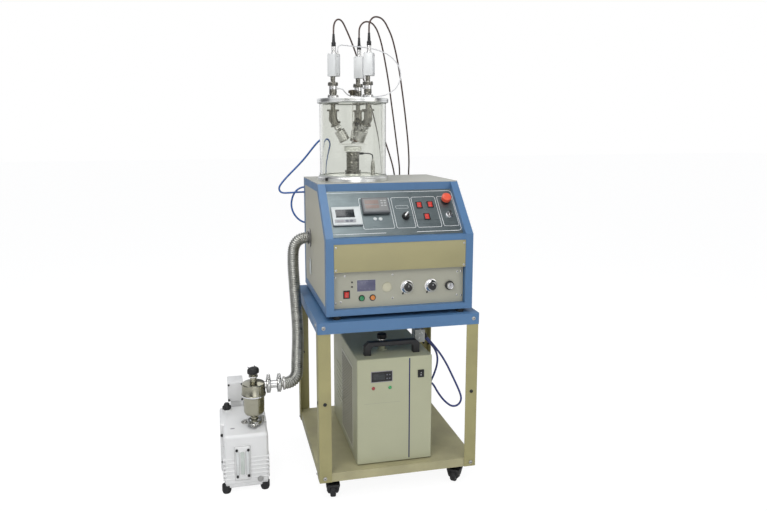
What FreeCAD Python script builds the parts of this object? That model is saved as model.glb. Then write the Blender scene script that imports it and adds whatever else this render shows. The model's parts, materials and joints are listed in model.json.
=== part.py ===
import FreeCAD, Part
import math
import os
import re
import Sketcher
from FreeCAD import Placement, Rotation, Vector

# Three-head sputter coater on a trolley, with its chiller and vacuum pump. Millimetres,
# +X to the operator's right, +Y away from the operator, +Z up from the floor.
# Everything is laid out about the trolley's centre on the floor; the last step moves the
# whole set so that the origin is the middle of its footprint.

sizes = {
    # trolley
    "cart_width": 600, "cart_depth": 582, "cart_height": 669,
    "tray_wall": 2, "tray_rim": 41, "shelf_rim": 33, "tray_corner": 4,
    "leg_face": 45, "leg_wall": 3, "leg_hole": 4.5, "leg_hole_height": 370,
    "gusset": 88,
    # castors
    "caster_height": 73, "caster_inset": 58, "caster_plate": 62, "plate_wall": 3,
    "plate_hole": 3.3, "plate_pitch": 46, "boss_radius": 16, "boss_height": 7,
    "kingpin": 5, "wheel_radius": 25, "wheel_width": 20, "wheel_trail": 22,
    "axle": 3, "fork_wall": 2.5, "fork_top": 3, "wheel_side_gap": 1.5,
    "run_fit": 0.05, "seat_gap": 0.3,
    # cabinet
    "cabinet_width": 542, "cabinet_depth": 550, "cabinet_x": 7.5, "cabinet_front": -270,
    "cabinet_height": 456, "foot_height": 15, "foot_radius": 16, "foot_inset": 40,
    "rail": 28, "lower_rail": 22, "middle_rail": 20, "lip": 25, "deck_wall": 3,
    "slope_base": 276, "slope_run": 172, "slope_rise": 180, "panel_wall": 2,
    "filler_height": 100, "panel_recess": 20, "panel_gap": 0.4, "deck_bore": 40,
    "hose_hole": 29, "hose_y": 118, "hose_z": 905,
    # generator
    "rack_width": 482.6, "rack_height": 132.5, "rack_recess": 20, "rack_wall": 4,
    "case_width": 430, "case_height": 119.9, "case_depth": 380, "case_wall": 2,
    # chamber
    "chamber_x": -102, "chamber_y": 37, "flange_radius": 137, "base_height": 20,
    "base_step": 6, "glass_radius": 128, "glass_wall": 9, "glass_height": 270,
    "seal_height": 3, "seal_lip": 2, "lid_height": 16, "lid_edge": 2,
    "bush_radius": 12, "bush_height": 12, "shaft": 2.5,
    "head_circle": 78, "neck_radius": 13,
    # stage
    "column_radius": 25, "column_height": 89, "column_foot": 31, "column_foot_height": 19,
    "stage_radius": 33, "stage_height": 20, "stage_gap": 2, "stage_shaft": 5,
    # shutter
    "blade_radius": 58, "blade_wall": 1.5, "blade_window": 23, "blade_drop": 156.5,
    "knob_reach": 14.5, "knob_lobe": 6, "knob_hub": 11, "knob_height": 10,
    # heads
    "collar_radius": 21, "collar_height": 12, "body_radius": 14.5, "body_height": 31,
    "stem_radius": 9, "stem_height": 22, "shield_radius": 23, "shield_height": 7,
    "elbow_radius": 15.5, "elbow_drop": 62, "elbow_reach": 24, "head_tilt": 30,
    "pivot_reach": 36, "fork_cheek": 5, "lug_width": 12, "lug_radius": 7, "pin": 3,
    "gun_radius": 20, "gun_neck": 12, "gun_length": 56, "gun_cap": 9,
    # boxes and plugs on the heads
    "box_width": 36, "box_height": 84, "box_wall": 1.5, "box_shift": 5,
    "socket_radius": 8, "socket_height": 27, "plug_radius": 8.5, "plug_height": 15,
    "relief_radius": 4.5, "relief_height": 30,
    # chiller
    "chiller_width": 285, "chiller_depth": 480, "chiller_height": 400, "chiller_x": -9.5,
    "chiller_front": -255, "chiller_foot": 5, "chiller_wall": 3, "chiller_edge": 5,
    "handle_width": 212, "handle_depth": 24, "handle_height": 50, "handle_bar": 18,
    "handle_y": -205, "cap_radius": 18, "cap_height": 36, "neck_height": 24, "cap_y": -150,
    "cap_x": -33, "cap_bore": 26, "neck_bore": 13, "louvre_count": 8, "louvre_pitch": 22, "louvre_slot": 6,
    # pump
    "pump_width": 176, "pump_length": 270, "pump_top": 225, "pump_base": 30,
    "pump_x": -554.5, "pump_front": -160, "motor_radius": 76, "motor_length": 150,
    "motor_rise": 12, "fin": 5, "fin_pitch": 16, "term_width": 62, "term_length": 80,
    "term_height": 79, "term_low": 242, "pump_foot": 17, "gauge_width": 52, "gauge_height": 128,
    "ballast_x": -615, "ballast_y": 78, "ballast_seat": 4, "inlet_height": 14,
    # inlet trap and its fittings
    "trap_x": -514, "trap_y": -80, "trap_base": 270, "trap_top": 392, "trap_band": 346,
    "trap_radius": 44, "trap_low_radius": 36, "port_height": 380, "tube_radius": 13,
    "kf_radius": 20, "kf_half": 3, "kf_one": 56, "kf_two": 96, "clamp_radius": 28,
    "clamp_half": 8, "stem_top": 424, "wing_height": 29, "hose_radius": 24,
    # panel controls
    "rocker_width": 15.4, "rocker_length": 20.6, "rocker_fit": 1.2, "rocker_depth": 3,
    "rocker_tilt": 10, "bezel_rim": 3.2, "bezel_height": 2.5, "bezel_depth": 14,
    "stop_radius": 18, "stop_height": 9, "stop_stem": 9, "stop_collar": 15,
    "stop_lift": 14, "stop_travel": 4, "button_radius": 8.5, "button_height": 6,
    "button_travel": 3, "button_collar": 11.5, "dial_radius": 22, "dial_height": 20,
    "knob_radius": 17, "knob_tall": 16, "selector_radius": 13, "selector_tall": 18,
    "key_radius": 8, "key_collar": 13, "spindle": 3, "cup_wall": 1.5,
    # cords
    "coax_radius": 3.25, "gas_radius": 2.2, "water_radius": 4, "gland_radius": 9.5,
    "gland_length": 18, "barb": 6, "port_reach": 11, "hose_collar": 8.5,
}

doc = FreeCAD.newDocument("sputter_coater")
sheet = doc.addObject("Spreadsheet::Sheet", "Sizes")
for row, (alias, value) in enumerate(sizes.items(), 1):
    sheet.set(f"A{row}", alias)
    sheet.set(f"B{row}", str(value))
    sheet.setAlias(f"B{row}", alias)
scale = doc.addObject("App::FeaturePython", "Reckoner")
doc.recompute()

subparts = {}
cords = []


# Formulas and places

def formula(text):
    """Point each size named in a formula at its cell in the sheet."""
    return re.sub(r"[a-z]\w*", lambda word: "Sizes." + word.group()
                  if word.group() in sizes else word.group(), str(text))


def number(text):
    value = scale.evalExpression(formula(text))
    return float(getattr(value, "Value", value))


def spot(x, y, z, turn=Rotation()):
    return Placement(Vector(number(x), number(y), number(z)), turn)


def about_x(degrees):
    return Rotation(Vector(1, 0, 0), degrees)


def about_y(degrees):
    return Rotation(Vector(0, 1, 0), degrees)


def about_z(degrees):
    return Rotation(Vector(0, 0, 1), degrees)


def keep(name, thing, placement=None):
    """Name a finished sub-part and put it in its place."""
    if placement is not None:
        thing.Placement = placement
    thing.Label = name
    subparts[name] = thing
    return thing


# Solids from primitives

def block(name, size, at):
    """A box centred on x and y, standing on its z."""
    thing = doc.addObject("Part::Box", name)
    for cell, text in zip(("Length", "Width", "Height"), size):
        thing.setExpression(cell, formula(text))
    thing.setExpression("Placement.Base.x", formula(f"{at[0]} - ({size[0]})/2"))
    thing.setExpression("Placement.Base.y", formula(f"{at[1]} - ({size[1]})/2"))
    thing.setExpression("Placement.Base.z", formula(at[2]))
    return thing


def drum(name, radius, height, at, turn=None):
    """A cylinder that starts at a point and rises along z, or along z turned."""
    thing = doc.addObject("Part::Cylinder", name)
    thing.setExpression("Radius", formula(radius))
    thing.setExpression("Height", formula(height))
    if turn:
        thing.Placement.Rotation = turn
    for axis, text in zip("xyz", at):
        thing.setExpression(f"Placement.Base.{axis}", formula(text))
    return thing


def joined(name, pieces):
    thing = doc.addObject("Part::MultiFuse", name)
    thing.Shapes = pieces
    thing.Refine = True
    return thing


def cut(name, base, tools):
    tool = tools[0] if len(tools) == 1 else joined(name + "_tools", tools)
    thing = doc.addObject("Part::Cut", name)
    thing.Base = base
    thing.Tool = tool
    return thing


def group(name, pieces):
    """Separate solids that share one sub-part."""
    thing = doc.addObject("Part::Compound", name)
    thing.Links = pieces
    return thing


def copies(name, master, placements):
    """Identical solids, each a link to one master."""
    links = []
    for index, placement in enumerate(placements, 1):
        link = doc.addObject("App::Link", f"{name}_{index}")
        link.LinkedObject = master
        link.Placement = placement
        links.append(link)
    return links


# Bodies from sketches

def new_body(name):
    return doc.addObject("PartDesign::Body", name + "_body")


def sketch_on(body, role, offset="0"):
    """A sketch on one of the body's own origin planes, lifted by a formula."""
    sketch = body.newObject("Sketcher::SketchObject", f"{body.Name}_sketch")
    plane = next(f for f in body.Origin.OriginFeatures if f.Role == role)
    sketch.AttachmentSupport = (plane, [""])
    sketch.MapMode = "FlatFace"
    if offset != "0":
        sketch.setExpression("AttachmentOffset.Base.z", formula(offset))
    return sketch


def tie(sketch, kind, edge, end, text):
    """Hold one coordinate of a sketch point to a formula."""
    held = sketch.addConstraint(Sketcher.Constraint(kind, -1, 1, edge, end, number(text)))
    sketch.setExpression(f"Constraints[{held}]", formula(text))


def outline(sketch, corners):
    """A closed outline whose corners are held to formulas."""
    first = sketch.GeometryCount
    points = [Vector(number(x), number(y), 0) for x, y in corners]
    count = len(points)
    for index in range(count):
        line = Part.LineSegment(points[index], points[(index + 1) % count])
        sketch.addGeometry(line, False)
    for index in range(count):
        follower = first + (index + 1) % count
        sketch.addConstraint(Sketcher.Constraint("Coincident", first + index, 2, follower, 1))
    for index, (x, y) in enumerate(corners):
        tie(sketch, "DistanceX", first + index, 1, x)
        tie(sketch, "DistanceY", first + index, 1, y)


def ring(sketch, x, y, radius):
    """A circle held to formulas."""
    centre = Vector(number(x), number(y), 0)
    edge = sketch.addGeometry(Part.Circle(centre, Vector(0, 0, 1), number(radius)), False)
    tie(sketch, "DistanceX", edge, 3, x)
    tie(sketch, "DistanceY", edge, 3, y)
    held = sketch.addConstraint(Sketcher.Constraint("Radius", edge, number(radius)))
    sketch.setExpression(f"Constraints[{held}]", formula(radius))


def pad(body, sketch, length, midplane=False, reverse=False):
    feature = body.newObject("PartDesign::Pad", f"{body.Name}_pad")
    feature.Profile = sketch
    feature.setExpression("Length", formula(length))
    feature.Midplane = midplane
    feature.Reversed = reverse
    return feature


def pocket(body, sketch, length, midplane=False, reverse=False):
    feature = body.newObject("PartDesign::Pocket", f"{body.Name}_pocket")
    feature.Profile = sketch
    feature.setExpression("Length", formula(length))
    feature.Midplane = midplane
    feature.Reversed = reverse
    return feature


def turned(name, corners):
    """A body turned about z from corners of (radius, height)."""
    body = new_body(name)
    sketch = sketch_on(body, "XZ_Plane")
    outline(sketch, corners)
    feature = body.newObject("PartDesign::Revolution", name + "_turn")
    feature.Profile = sketch
    feature.ReferenceAxis = (sketch, ["V_Axis"])
    feature.Angle = 360
    return body


def extruded(name, corners, length, role="XY_Plane", offset="0", midplane=False):
    body = new_body(name)
    sketch = sketch_on(body, role, offset)
    outline(sketch, corners)
    pad(body, sketch, length, midplane)
    return body


def oblong(sketch, x, y, width, height):
    """A rectangle centred on a point."""
    outline(sketch, [(f"{x} - ({width})/2", f"{y} - ({height})/2"),
                     (f"{x} + ({width})/2", f"{y} - ({height})/2"),
                     (f"{x} + ({width})/2", f"{y} + ({height})/2"),
                     (f"{x} - ({width})/2", f"{y} + ({height})/2")])


def softened(body, radius, wanted):
    """Fillet the edges that a test picks out."""
    doc.recompute()
    base = body.Tip
    names = [f"Edge{index}" for index, edge in enumerate(base.Shape.Edges, 1) if wanted(edge)]
    fillet = body.newObject("PartDesign::Fillet", f"{body.Name}_fillet")
    fillet.Base = (base, names)
    fillet.setExpression("Radius", formula(radius))
    return fillet


def hollowed(body, wall, wanted):
    """Leave walls of one thickness, open at the faces that a test picks out."""
    doc.recompute()
    base = body.Tip
    names = [f"Face{index}" for index, face in enumerate(base.Shape.Faces, 1) if wanted(face)]
    shell = body.newObject("PartDesign::Thickness", f"{body.Name}_shell")
    shell.Base = (base, names)
    shell.setExpression("Value", formula(wall))
    shell.Reversed = True
    return shell


def upright(edge):
    return edge.Curve.TypeId == "Part::GeomLine" and abs(edge.tangentAt(0).z) > 0.99


def along_x(edge):
    return edge.Curve.TypeId == "Part::GeomLine" and abs(edge.tangentAt(0).x) > 0.99


def facing_down(face):
    return face.normalAt(0, 0).z < -0.99


# Trolley

def tray(name, width, depth, rim):
    """A folded tray lying face down: a flat top with a rim all round."""
    body = new_body(name)
    sketch = sketch_on(body, "XY_Plane")
    oblong(sketch, "0", "0", width, depth)
    pad(body, sketch, rim)
    softened(body, "tray_corner", upright)
    hollowed(body, "tray_wall", facing_down)
    return body


def trolley():
    top = tray("cart_top", "cart_width", "cart_depth", "tray_rim")
    keep("cart_top", top, spot(0, 0, "cart_height - tray_rim"))

    bevel = "tray_corner - tray_wall"
    leg = extruded("cart_leg", [(bevel, "0"), ("leg_face", "0"), ("leg_face", "leg_wall"),
                                ("leg_wall", "leg_wall"), ("leg_wall", "leg_face"),
                                ("0", "leg_face"), ("0", bevel)],
                   "cart_height - tray_wall - caster_height")
    for role in ("XZ_Plane", "YZ_Plane"):
        holes = sketch_on(leg, role)
        ring(holes, "leg_face/2", "leg_hole_height - caster_height", "leg_hole")
        pocket(leg, holes, "leg_face", midplane=True)
    side_x = "cart_width/2 - tray_wall"
    side_y = "cart_depth/2 - tray_wall"
    corners = [(f"-({side_x})", f"-({side_y})", 0), (side_x, f"-({side_y})", 90),
               (side_x, side_y, 180), (f"-({side_x})", side_y, 270)]
    legs = copies("leg", leg, [spot(x, y, "caster_height", about_z(turn))
                               for x, y, turn in corners])
    keep("cart_legs", group("cart_legs", legs))

    shelf = tray("shelf_tray", "cart_width - 2*tray_wall - 2*leg_wall",
                 "cart_depth - 2*tray_wall - 2*leg_wall", "shelf_rim")
    set_back = "tray_wall + leg_wall + 0.75*tray_wall + gusset/2"
    gussets = [block("gusset", ("gusset", "gusset", "leg_wall"),
                     (f"{sx}*(cart_width/2 - ({set_back}))",
                      f"{sy}*(cart_depth/2 - ({set_back}))", "seat_gap"))
               for sx in (-1, 1) for sy in (-1, 1)]
    keep("cart_shelf", joined("cart_shelf", [shelf] + gussets), spot(0, 0, "caster_height"))


def caster_plate():
    """A plate with four screw holes and a turned boss that holds the kingpin."""
    body = new_body("caster_plate")
    face = sketch_on(body, "XY_Plane")
    oblong(face, "0", "0", "caster_plate", "caster_plate")
    for x in ("-plate_pitch/2", "plate_pitch/2"):
        for y in ("-plate_pitch/2", "plate_pitch/2"):
            ring(face, x, y, "plate_hole")
    pad(body, face, "plate_wall", reverse=True)
    boss = sketch_on(body, "XY_Plane")
    ring(boss, "0", "0", "boss_radius")
    pad(body, boss, "plate_wall + boss_height", reverse=True)
    bore = sketch_on(body, "XY_Plane")
    ring(bore, "0", "0", "kingpin + run_fit")
    pocket(body, bore, "2*(plate_wall + boss_height)", midplane=True)
    return body


def caster_fork(name):
    """A folded fork about its kingpin, whose axle trails along +x. Its z is the floor."""
    top = "caster_height - plate_wall - boss_height - seat_gap"
    body = new_body(name)
    side = sketch_on(body, "XZ_Plane")
    outline(side, [("-boss_radius", top), ("boss_radius + 3", top),
                   ("wheel_trail + 8", "wheel_radius + 4"), ("wheel_trail + 7", "wheel_radius - 7"),
                   ("wheel_trail - 7", "wheel_radius - 7"), ("-boss_radius", f"{top} - 8")])
    pad(body, side, "wheel_width + 2*wheel_side_gap + 2*fork_wall", midplane=True)
    inside = sketch_on(body, "XZ_Plane")
    outline(inside, [("-2*boss_radius", "0"), ("3*wheel_radius", "0"),
                     ("3*wheel_radius", f"{top} - fork_top"), ("-2*boss_radius", f"{top} - fork_top")])
    pocket(body, inside, "wheel_width + 2*wheel_side_gap", midplane=True)
    axle = sketch_on(body, "XZ_Plane")
    ring(axle, "wheel_trail", "wheel_radius", "axle")
    pad(body, axle, "wheel_width + 2*wheel_side_gap + 2*fork_wall + 4", midplane=True)
    pin = sketch_on(body, "XY_Plane", f"{top} - fork_top")
    ring(pin, "0", "0", "kingpin")
    pad(body, pin, "fork_top + seat_gap + plate_wall + boss_height - 1")
    return body


def caster_wheel(name):
    """A tyred wheel turned about z, later laid on its side."""
    half = "wheel_width/2"
    return turned(name, [("axle + run_fit", f"-{half}"), ("wheel_radius/2.2", f"-{half}"),
                         ("wheel_radius/2", f"-{half} + 2.5"), ("wheel_radius - 6", f"-{half} + 2.5"),
                         ("wheel_radius - 5", f"-{half}"), ("wheel_radius - 2", f"-{half}"),
                         ("wheel_radius", f"-{half} + 3"), ("wheel_radius", f"{half} - 3"),
                         ("wheel_radius - 2", half), ("wheel_radius - 5", half),
                         ("wheel_radius - 6", f"{half} - 2.5"), ("wheel_radius/2", f"{half} - 2.5"),
                         ("wheel_radius/2.2", half), ("axle + run_fit", half)])


def casters():
    x = "cart_width/2 - caster_inset"
    y = "cart_depth/2 - caster_inset"
    # where each castor stands, and the way its wheel trails in the photograph, in degrees
    places = {"front_left": (f"-({x})", f"-({y})", 264), "front_right": (x, f"-({y})", 232),
              "rear_left": (f"-({x})", y, 285), "rear_right": (x, y, 246)}
    plate = caster_plate()
    plates = copies("plate", plate, [spot(x, y, "caster_height") for x, y, _ in places.values()])
    keep("caster_plates", group("caster_plates", plates))
    for corner, (x, y, heading) in places.items():
        turn = about_z(heading)
        fork = caster_fork(f"caster_fork_{corner}")
        keep(f"caster_fork_{corner}", fork, spot(x, y, 0, turn))
        wheel = caster_wheel(f"caster_wheel_{corner}")
        keep(f"caster_wheel_{corner}", wheel,
             spot(x, y, 0, turn) * spot("wheel_trail", 0, "wheel_radius", about_x(90)))


# Cabinet

base_z = "(cart_height + foot_height)"
deck_z = "(cart_height + foot_height + cabinet_height)"
top_z = "(cart_height + foot_height + cabinet_height - deck_wall)"
back_y = "(cabinet_front + cabinet_depth)"
slope_z = "(cart_height + foot_height + slope_base)"
slope_y = "(cabinet_front + slope_run)"
between_rails = "(cabinet_width - 2*rail)"
slope_angle = math.degrees(math.atan2(sizes["slope_rise"], sizes["slope_run"]))


def cabinet_profile():
    """The side of the cabinet in y and z: upright front, sloping desk, flat top."""
    return [("cabinet_front", base_z), ("cabinet_front", slope_z), (slope_y, top_z),
            (back_y, top_z), (back_y, base_z)]


def side_window():
    """The same profile brought in by one rail all round."""
    lean = "atan(slope_rise/slope_run)"
    return [("cabinet_front + rail", f"{base_z} + rail"),
            ("cabinet_front + rail", f"{slope_z} - rail*tan(45 deg - {lean}/2)"),
            (f"{slope_y} + rail*tan({lean}/2)", f"{top_z} - rail"),
            (f"{back_y} - rail", f"{top_z} - rail"), (f"{back_y} - rail", f"{base_z} + rail")]


def cabinet_frame():
    """A welded frame of square rail: the solid profile with every window cut out."""
    body = new_body("cabinet_frame")
    profile = sketch_on(body, "YZ_Plane")
    outline(profile, cabinet_profile())
    pad(body, profile, "cabinet_width", midplane=True)
    sides = sketch_on(body, "YZ_Plane")
    outline(sides, side_window())
    pocket(body, sides, "2*cabinet_width", midplane=True)
    front = sketch_on(body, "XZ_Plane", "-(cabinet_front + rail/2)")
    outline(front, [(f"-{between_rails}/2", f"{base_z} + lower_rail"),
                    (f"{between_rails}/2", f"{base_z} + lower_rail"),
                    (f"{between_rails}/2", f"{slope_z} - middle_rail"),
                    (f"-{between_rails}/2", f"{slope_z} - middle_rail")])
    pocket(body, front, "2*rail", midplane=True)
    back = sketch_on(body, "XZ_Plane", f"-({back_y} - rail/2)")
    outline(back, [(f"-{between_rails}/2", f"{base_z} + rail"),
                   (f"{between_rails}/2", f"{base_z} + rail"),
                   (f"{between_rails}/2", f"{top_z} - rail"),
                   (f"-{between_rails}/2", f"{top_z} - rail")])
    pocket(body, back, "2*rail", midplane=True)
    ledge = sketch_on(body, "XY_Plane", slope_z)
    outline(ledge, [(f"-{between_rails}/2", "cabinet_front - 1"),
                    (f"{between_rails}/2", "cabinet_front - 1"),
                    (f"{between_rails}/2", slope_y), (f"-{between_rails}/2", slope_y)])
    pocket(body, ledge, "cabinet_height", reverse=True)
    desk = sketch_on(body, "XY_Plane", base_z)
    outline(desk, [(f"-{between_rails}/2", "cabinet_front + rail"),
                   (f"{between_rails}/2", "cabinet_front + rail"),
                   (f"{between_rails}/2", slope_y), (f"-{between_rails}/2", slope_y)])
    pocket(body, desk, "4*cabinet_height", midplane=True)
    roof = sketch_on(body, "XY_Plane", base_z)
    outline(roof, [(f"-{between_rails}/2", f"{slope_y} + rail"),
                   (f"{between_rails}/2", f"{slope_y} + rail"),
                   (f"{between_rails}/2", f"{back_y} - rail"),
                   (f"-{between_rails}/2", f"{back_y} - rail")])
    pocket(body, roof, "4*cabinet_height", midplane=True)
    keep("cabinet_frame", body, spot("cabinet_x", 0, 0))


def cabinet_panels():
    """Sheet metal that closes the frame: sides, back, floor and the blank above the rack."""
    half = "cabinet_width/2"
    left = extruded("left_panel", side_window(), "panel_wall", "YZ_Plane", f"-{half} + 1")
    hole = sketch_on(left, "YZ_Plane", f"-{half}")
    ring(hole, "hose_y", "hose_z", "hose_hole")
    pocket(left, hole, "4*panel_wall", midplane=True)
    right = extruded("right_panel", side_window(), "panel_wall", "YZ_Plane",
                     f"{half} - 1 - panel_wall")
    back = block("back_panel", (between_rails, "panel_wall", "cabinet_height - deck_wall - 2*rail"),
                 (0, f"{back_y} - 1.5*panel_wall", f"{base_z} + rail"))
    floor = block("floor_panel", (between_rails, "cabinet_depth - 2*rail - slope_run", "panel_wall"),
                  (0, f"({slope_y} + {back_y})/2", f"{base_z}"))
    floor_front = block("front_floor", (between_rails, "slope_run - rail", "panel_wall"),
                        (0, f"cabinet_front + (slope_run + rail)/2", f"{base_z}"))
    blank = block("rack_blank", (f"{between_rails}", "panel_wall", "filler_height"),
                  (0, "cabinet_front + 1.5*panel_wall", f"{slope_z} - middle_rail - filler_height"))
    panels = group("cabinet_panels", [left, right, back, floor, floor_front, blank])
    keep("cabinet_panels", panels, spot("cabinet_x", 0, 0))


def cabinet_top():
    plate = block("deck_plate", ("cabinet_width", "cabinet_depth - slope_run", "deck_wall"),
                  ("cabinet_x", f"({slope_y} + {back_y})/2", top_z))
    bore = drum("deck_hole", "deck_bore", "3*deck_wall", ("chamber_x", "chamber_y", f"{top_z} - deck_wall"))
    keep("cabinet_top", cut("cabinet_top", plate, [bore]))


def rubber_feet():
    """Turned rubber feet under the cabinet, the chiller and the pump."""
    tall = turned("tall_foot", [("0", "0"), ("foot_radius - 2", "0"), ("foot_radius", "foot_height"),
                                ("0", "foot_height")])
    low = turned("low_foot", [("0", "0"), ("foot_radius - 2", "0"), ("foot_radius - 2", "chiller_foot"),
                              ("0", "chiller_foot")])
    shoe = turned("pump_shoe", [("0", "0"), ("pump_foot - 3", "0"), ("pump_foot", "8"),
                                ("pump_foot", "pump_base"), ("0", "pump_base")])
    pieces = []
    reach = "cabinet_width/2 - foot_inset"
    for x in (f"cabinet_x - ({reach})", f"cabinet_x + {reach}"):
        for y in ("cabinet_front + foot_inset/2", f"{back_y} - foot_inset/2"):
            pieces += copies("cabinet_foot", tall, [spot(x, y, "cart_height")])
    reach = "chiller_width/2 - 30"
    for x in (f"chiller_x - ({reach})", f"chiller_x + {reach}"):
        for y in ("chiller_front + 40", "chiller_front + chiller_depth - 40"):
            pieces += copies("chiller_foot", low, [spot(x, y, "caster_height + shelf_rim")])
    reach = "pump_width/2 - pump_foot"
    for x in (f"pump_x - ({reach})", f"pump_x + {reach}"):
        for y in ("pump_front + pump_foot", "pump_front + pump_length - pump_foot"):
            pieces += copies("pump_shoe", shoe, [spot(x, y, 0)])
    keep("rubber_feet", group("rubber_feet", pieces))


# Frames of the sloping panel, the generator's front and the chiller's front, each with x
# across, y up the face and z out of it

lean = math.radians(slope_angle)
desk_frame = (spot("cabinet_x", "cabinet_front", slope_z) * Placement(Vector(0, 0, 0), about_x(slope_angle))
              * spot(0, 0, "-panel_recess"))
rack_frame = spot("cabinet_x", "cabinet_front + rack_recess", f"{base_z} + lower_rail", about_x(90))
chiller_frame = spot("chiller_x", "chiller_front", "caster_height + shelf_rim + chiller_foot", about_x(90))

# Where each control sits: x from the middle of its face, then the way up the face

gauge_at = (-179, 108)
gauge_size = (108, 80)
temperature_at = (-67, 150)
temperature_size = (100, 68)
estop_at = (210, 172)
selector_at = (40, 101)
key_at = (208, 102)
desk_rockers = {"rocker_1": (102, 152), "rocker_2": (145, 153), "rocker_3": (121, 98)}
pilot_buttons = ((-76, 95), (-56, 94))
rack_rocker = (-195, 50)
start_at = (-140, 34)
stop_at = (-100, 34)
blank_at = (-47, 69)
rack_display = (-123, 79)
rack_display_size = (68, 42)
dial_1_at = (28, 66)
dial_2_at = (119, 66)
rack_knob_at = (188, 64)
chiller_rocker_at = (99, 332)
desk_low = 20
desk_high = 225.5


def faceplate(name, width, low, high, wall, holes, slots):
    """A flat panel whose outer face is z = 0, with round and rectangular cut-outs."""
    body = new_body(name)
    face = sketch_on(body, "XY_Plane")
    outline(face, [(f"-({width})/2", low), (f"({width})/2", low), (f"({width})/2", high),
                   (f"-({width})/2", high)])
    for x, y, radius in holes:
        ring(face, x, y, radius)
    for x, y, across, up in slots:
        oblong(face, x, y, across, up)
    pad(body, face, wall, reverse=True)
    return body


rocker_opening = ("rocker_width + 2*rocker_fit + 2*cup_wall", "rocker_length + 2*rocker_fit + 2*cup_wall")


def cup_hole(stem):
    """The hole that clears the cup of a round collar."""
    return f"{stem} + run_fit + cup_wall + seat_gap"


def control_panel():
    rockers = [(x, y, *rocker_opening) for x, y in desk_rockers.values()]
    meters = [(*gauge_at, gauge_size[0] - 8, gauge_size[1] - 8),
              (*temperature_at, temperature_size[0] - 8, temperature_size[1] - 8)]
    holes = [(*estop_at, cup_hole("stop_stem")), (*selector_at, cup_hole("spindle")),
             (*key_at, cup_hole("key_radius"))]
    holes += [(x, y, "5 + seat_gap") for x, y in pilot_buttons]
    panel = faceplate("control_panel", f"{between_rails} - 2*panel_gap", desk_low, desk_high,
                      "panel_wall", holes, rockers + meters)
    keep("control_panel", panel, desk_frame)


def rf_generator():
    holes = [(*start_at, cup_hole("button_radius")), (*stop_at, cup_hole("button_radius")),
             (*dial_1_at, cup_hole("spindle")), (*dial_2_at, cup_hole("spindle")),
             (*rack_knob_at, cup_hole("spindle")), (*blank_at, "9 + seat_gap")]
    slots = [(*rack_rocker, *rocker_opening), (*rack_display, *rack_display_size)]
    panel = faceplate("rack_panel", "rack_width", 0, "rack_height", "rack_wall", holes, slots)
    panel.Placement = rack_frame
    shell = block("case_shell", ("case_width", "case_depth", "case_height"),
                  ("cabinet_x", "cabinet_front + rack_recess + rack_wall + case_depth/2",
                   f"{base_z} + lower_rail + (rack_height - case_height)/2"))
    inside = block("case_inside", ("case_width - 2*case_wall", "case_depth - case_wall",
                                   "case_height - 2*case_wall"),
                   ("cabinet_x", "cabinet_front + rack_recess + rack_wall + (case_depth - case_wall)/2",
                    f"{base_z} + lower_rail + (rack_height - case_height)/2 + case_wall"))
    case = cut("rack_case", shell, [inside])
    keep("rf_generator", group("rf_generator", [panel, case]))


def meter(name, size, face_height, depth):
    """A panel meter: a bezel that overlaps its cut-out, a body behind, a sunk window."""
    width, height = size
    body = new_body(name)
    back = sketch_on(body, "XY_Plane")
    oblong(back, "0", "0", width - 8, height - 8)
    pad(body, back, depth, reverse=True)
    front = sketch_on(body, "XY_Plane")
    oblong(front, "0", "0", width, height)
    pad(body, front, face_height)
    softened(body, 2.5, lambda edge: upright(edge) and edge.CenterOfMass.z > 0)
    window = sketch_on(body, "XY_Plane", str(face_height))
    oblong(window, "0", height * 0.14, width - 22, height * 0.5)
    pocket(body, window, 1.5)
    return body


def meters():
    gauge = meter("vacuum_gauge", gauge_size, 9, 60)
    keep("vacuum_gauge", gauge, desk_frame * spot(*gauge_at, 0))
    control = meter("temperature_controller", temperature_size, 14, 70)
    keep("temperature_controller", control, desk_frame * spot(*temperature_at, 0))


def rocker_bezel(name):
    """A frame with a cup behind it that a rocker sits in."""
    body = new_body(name)
    flange = sketch_on(body, "XY_Plane")
    oblong(flange, "0", "0", "rocker_width + 2*rocker_fit + 2*bezel_rim",
           "rocker_length + 2*rocker_fit + 2*bezel_rim")
    pad(body, flange, "bezel_height")
    cup = sketch_on(body, "XY_Plane")
    oblong(cup, "0", "0", *rocker_opening)
    pad(body, cup, "bezel_depth", reverse=True)
    well = sketch_on(body, "XY_Plane", "bezel_height")
    oblong(well, "0", "0", "rocker_width + 2*rocker_fit", "rocker_length + 2*rocker_fit")
    pocket(body, well, "bezel_height + bezel_depth - 1.5")
    return body


def round_collar(name, outer, inner, height, depth):
    """A ring on the face with a cup behind it, bored for a stem."""
    return turned(name, [("0", f"-({depth})"), (f"{inner} + cup_wall", f"-({depth})"),
                         (f"{inner} + cup_wall", "0"), (outer, "0"), (outer, f"({height}) - 1"),
                         (f"{outer} - 1", height), (inner, height),
                         (inner, f"-({depth}) + 1.5"), ("0", f"-({depth}) + 1.5")])


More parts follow.
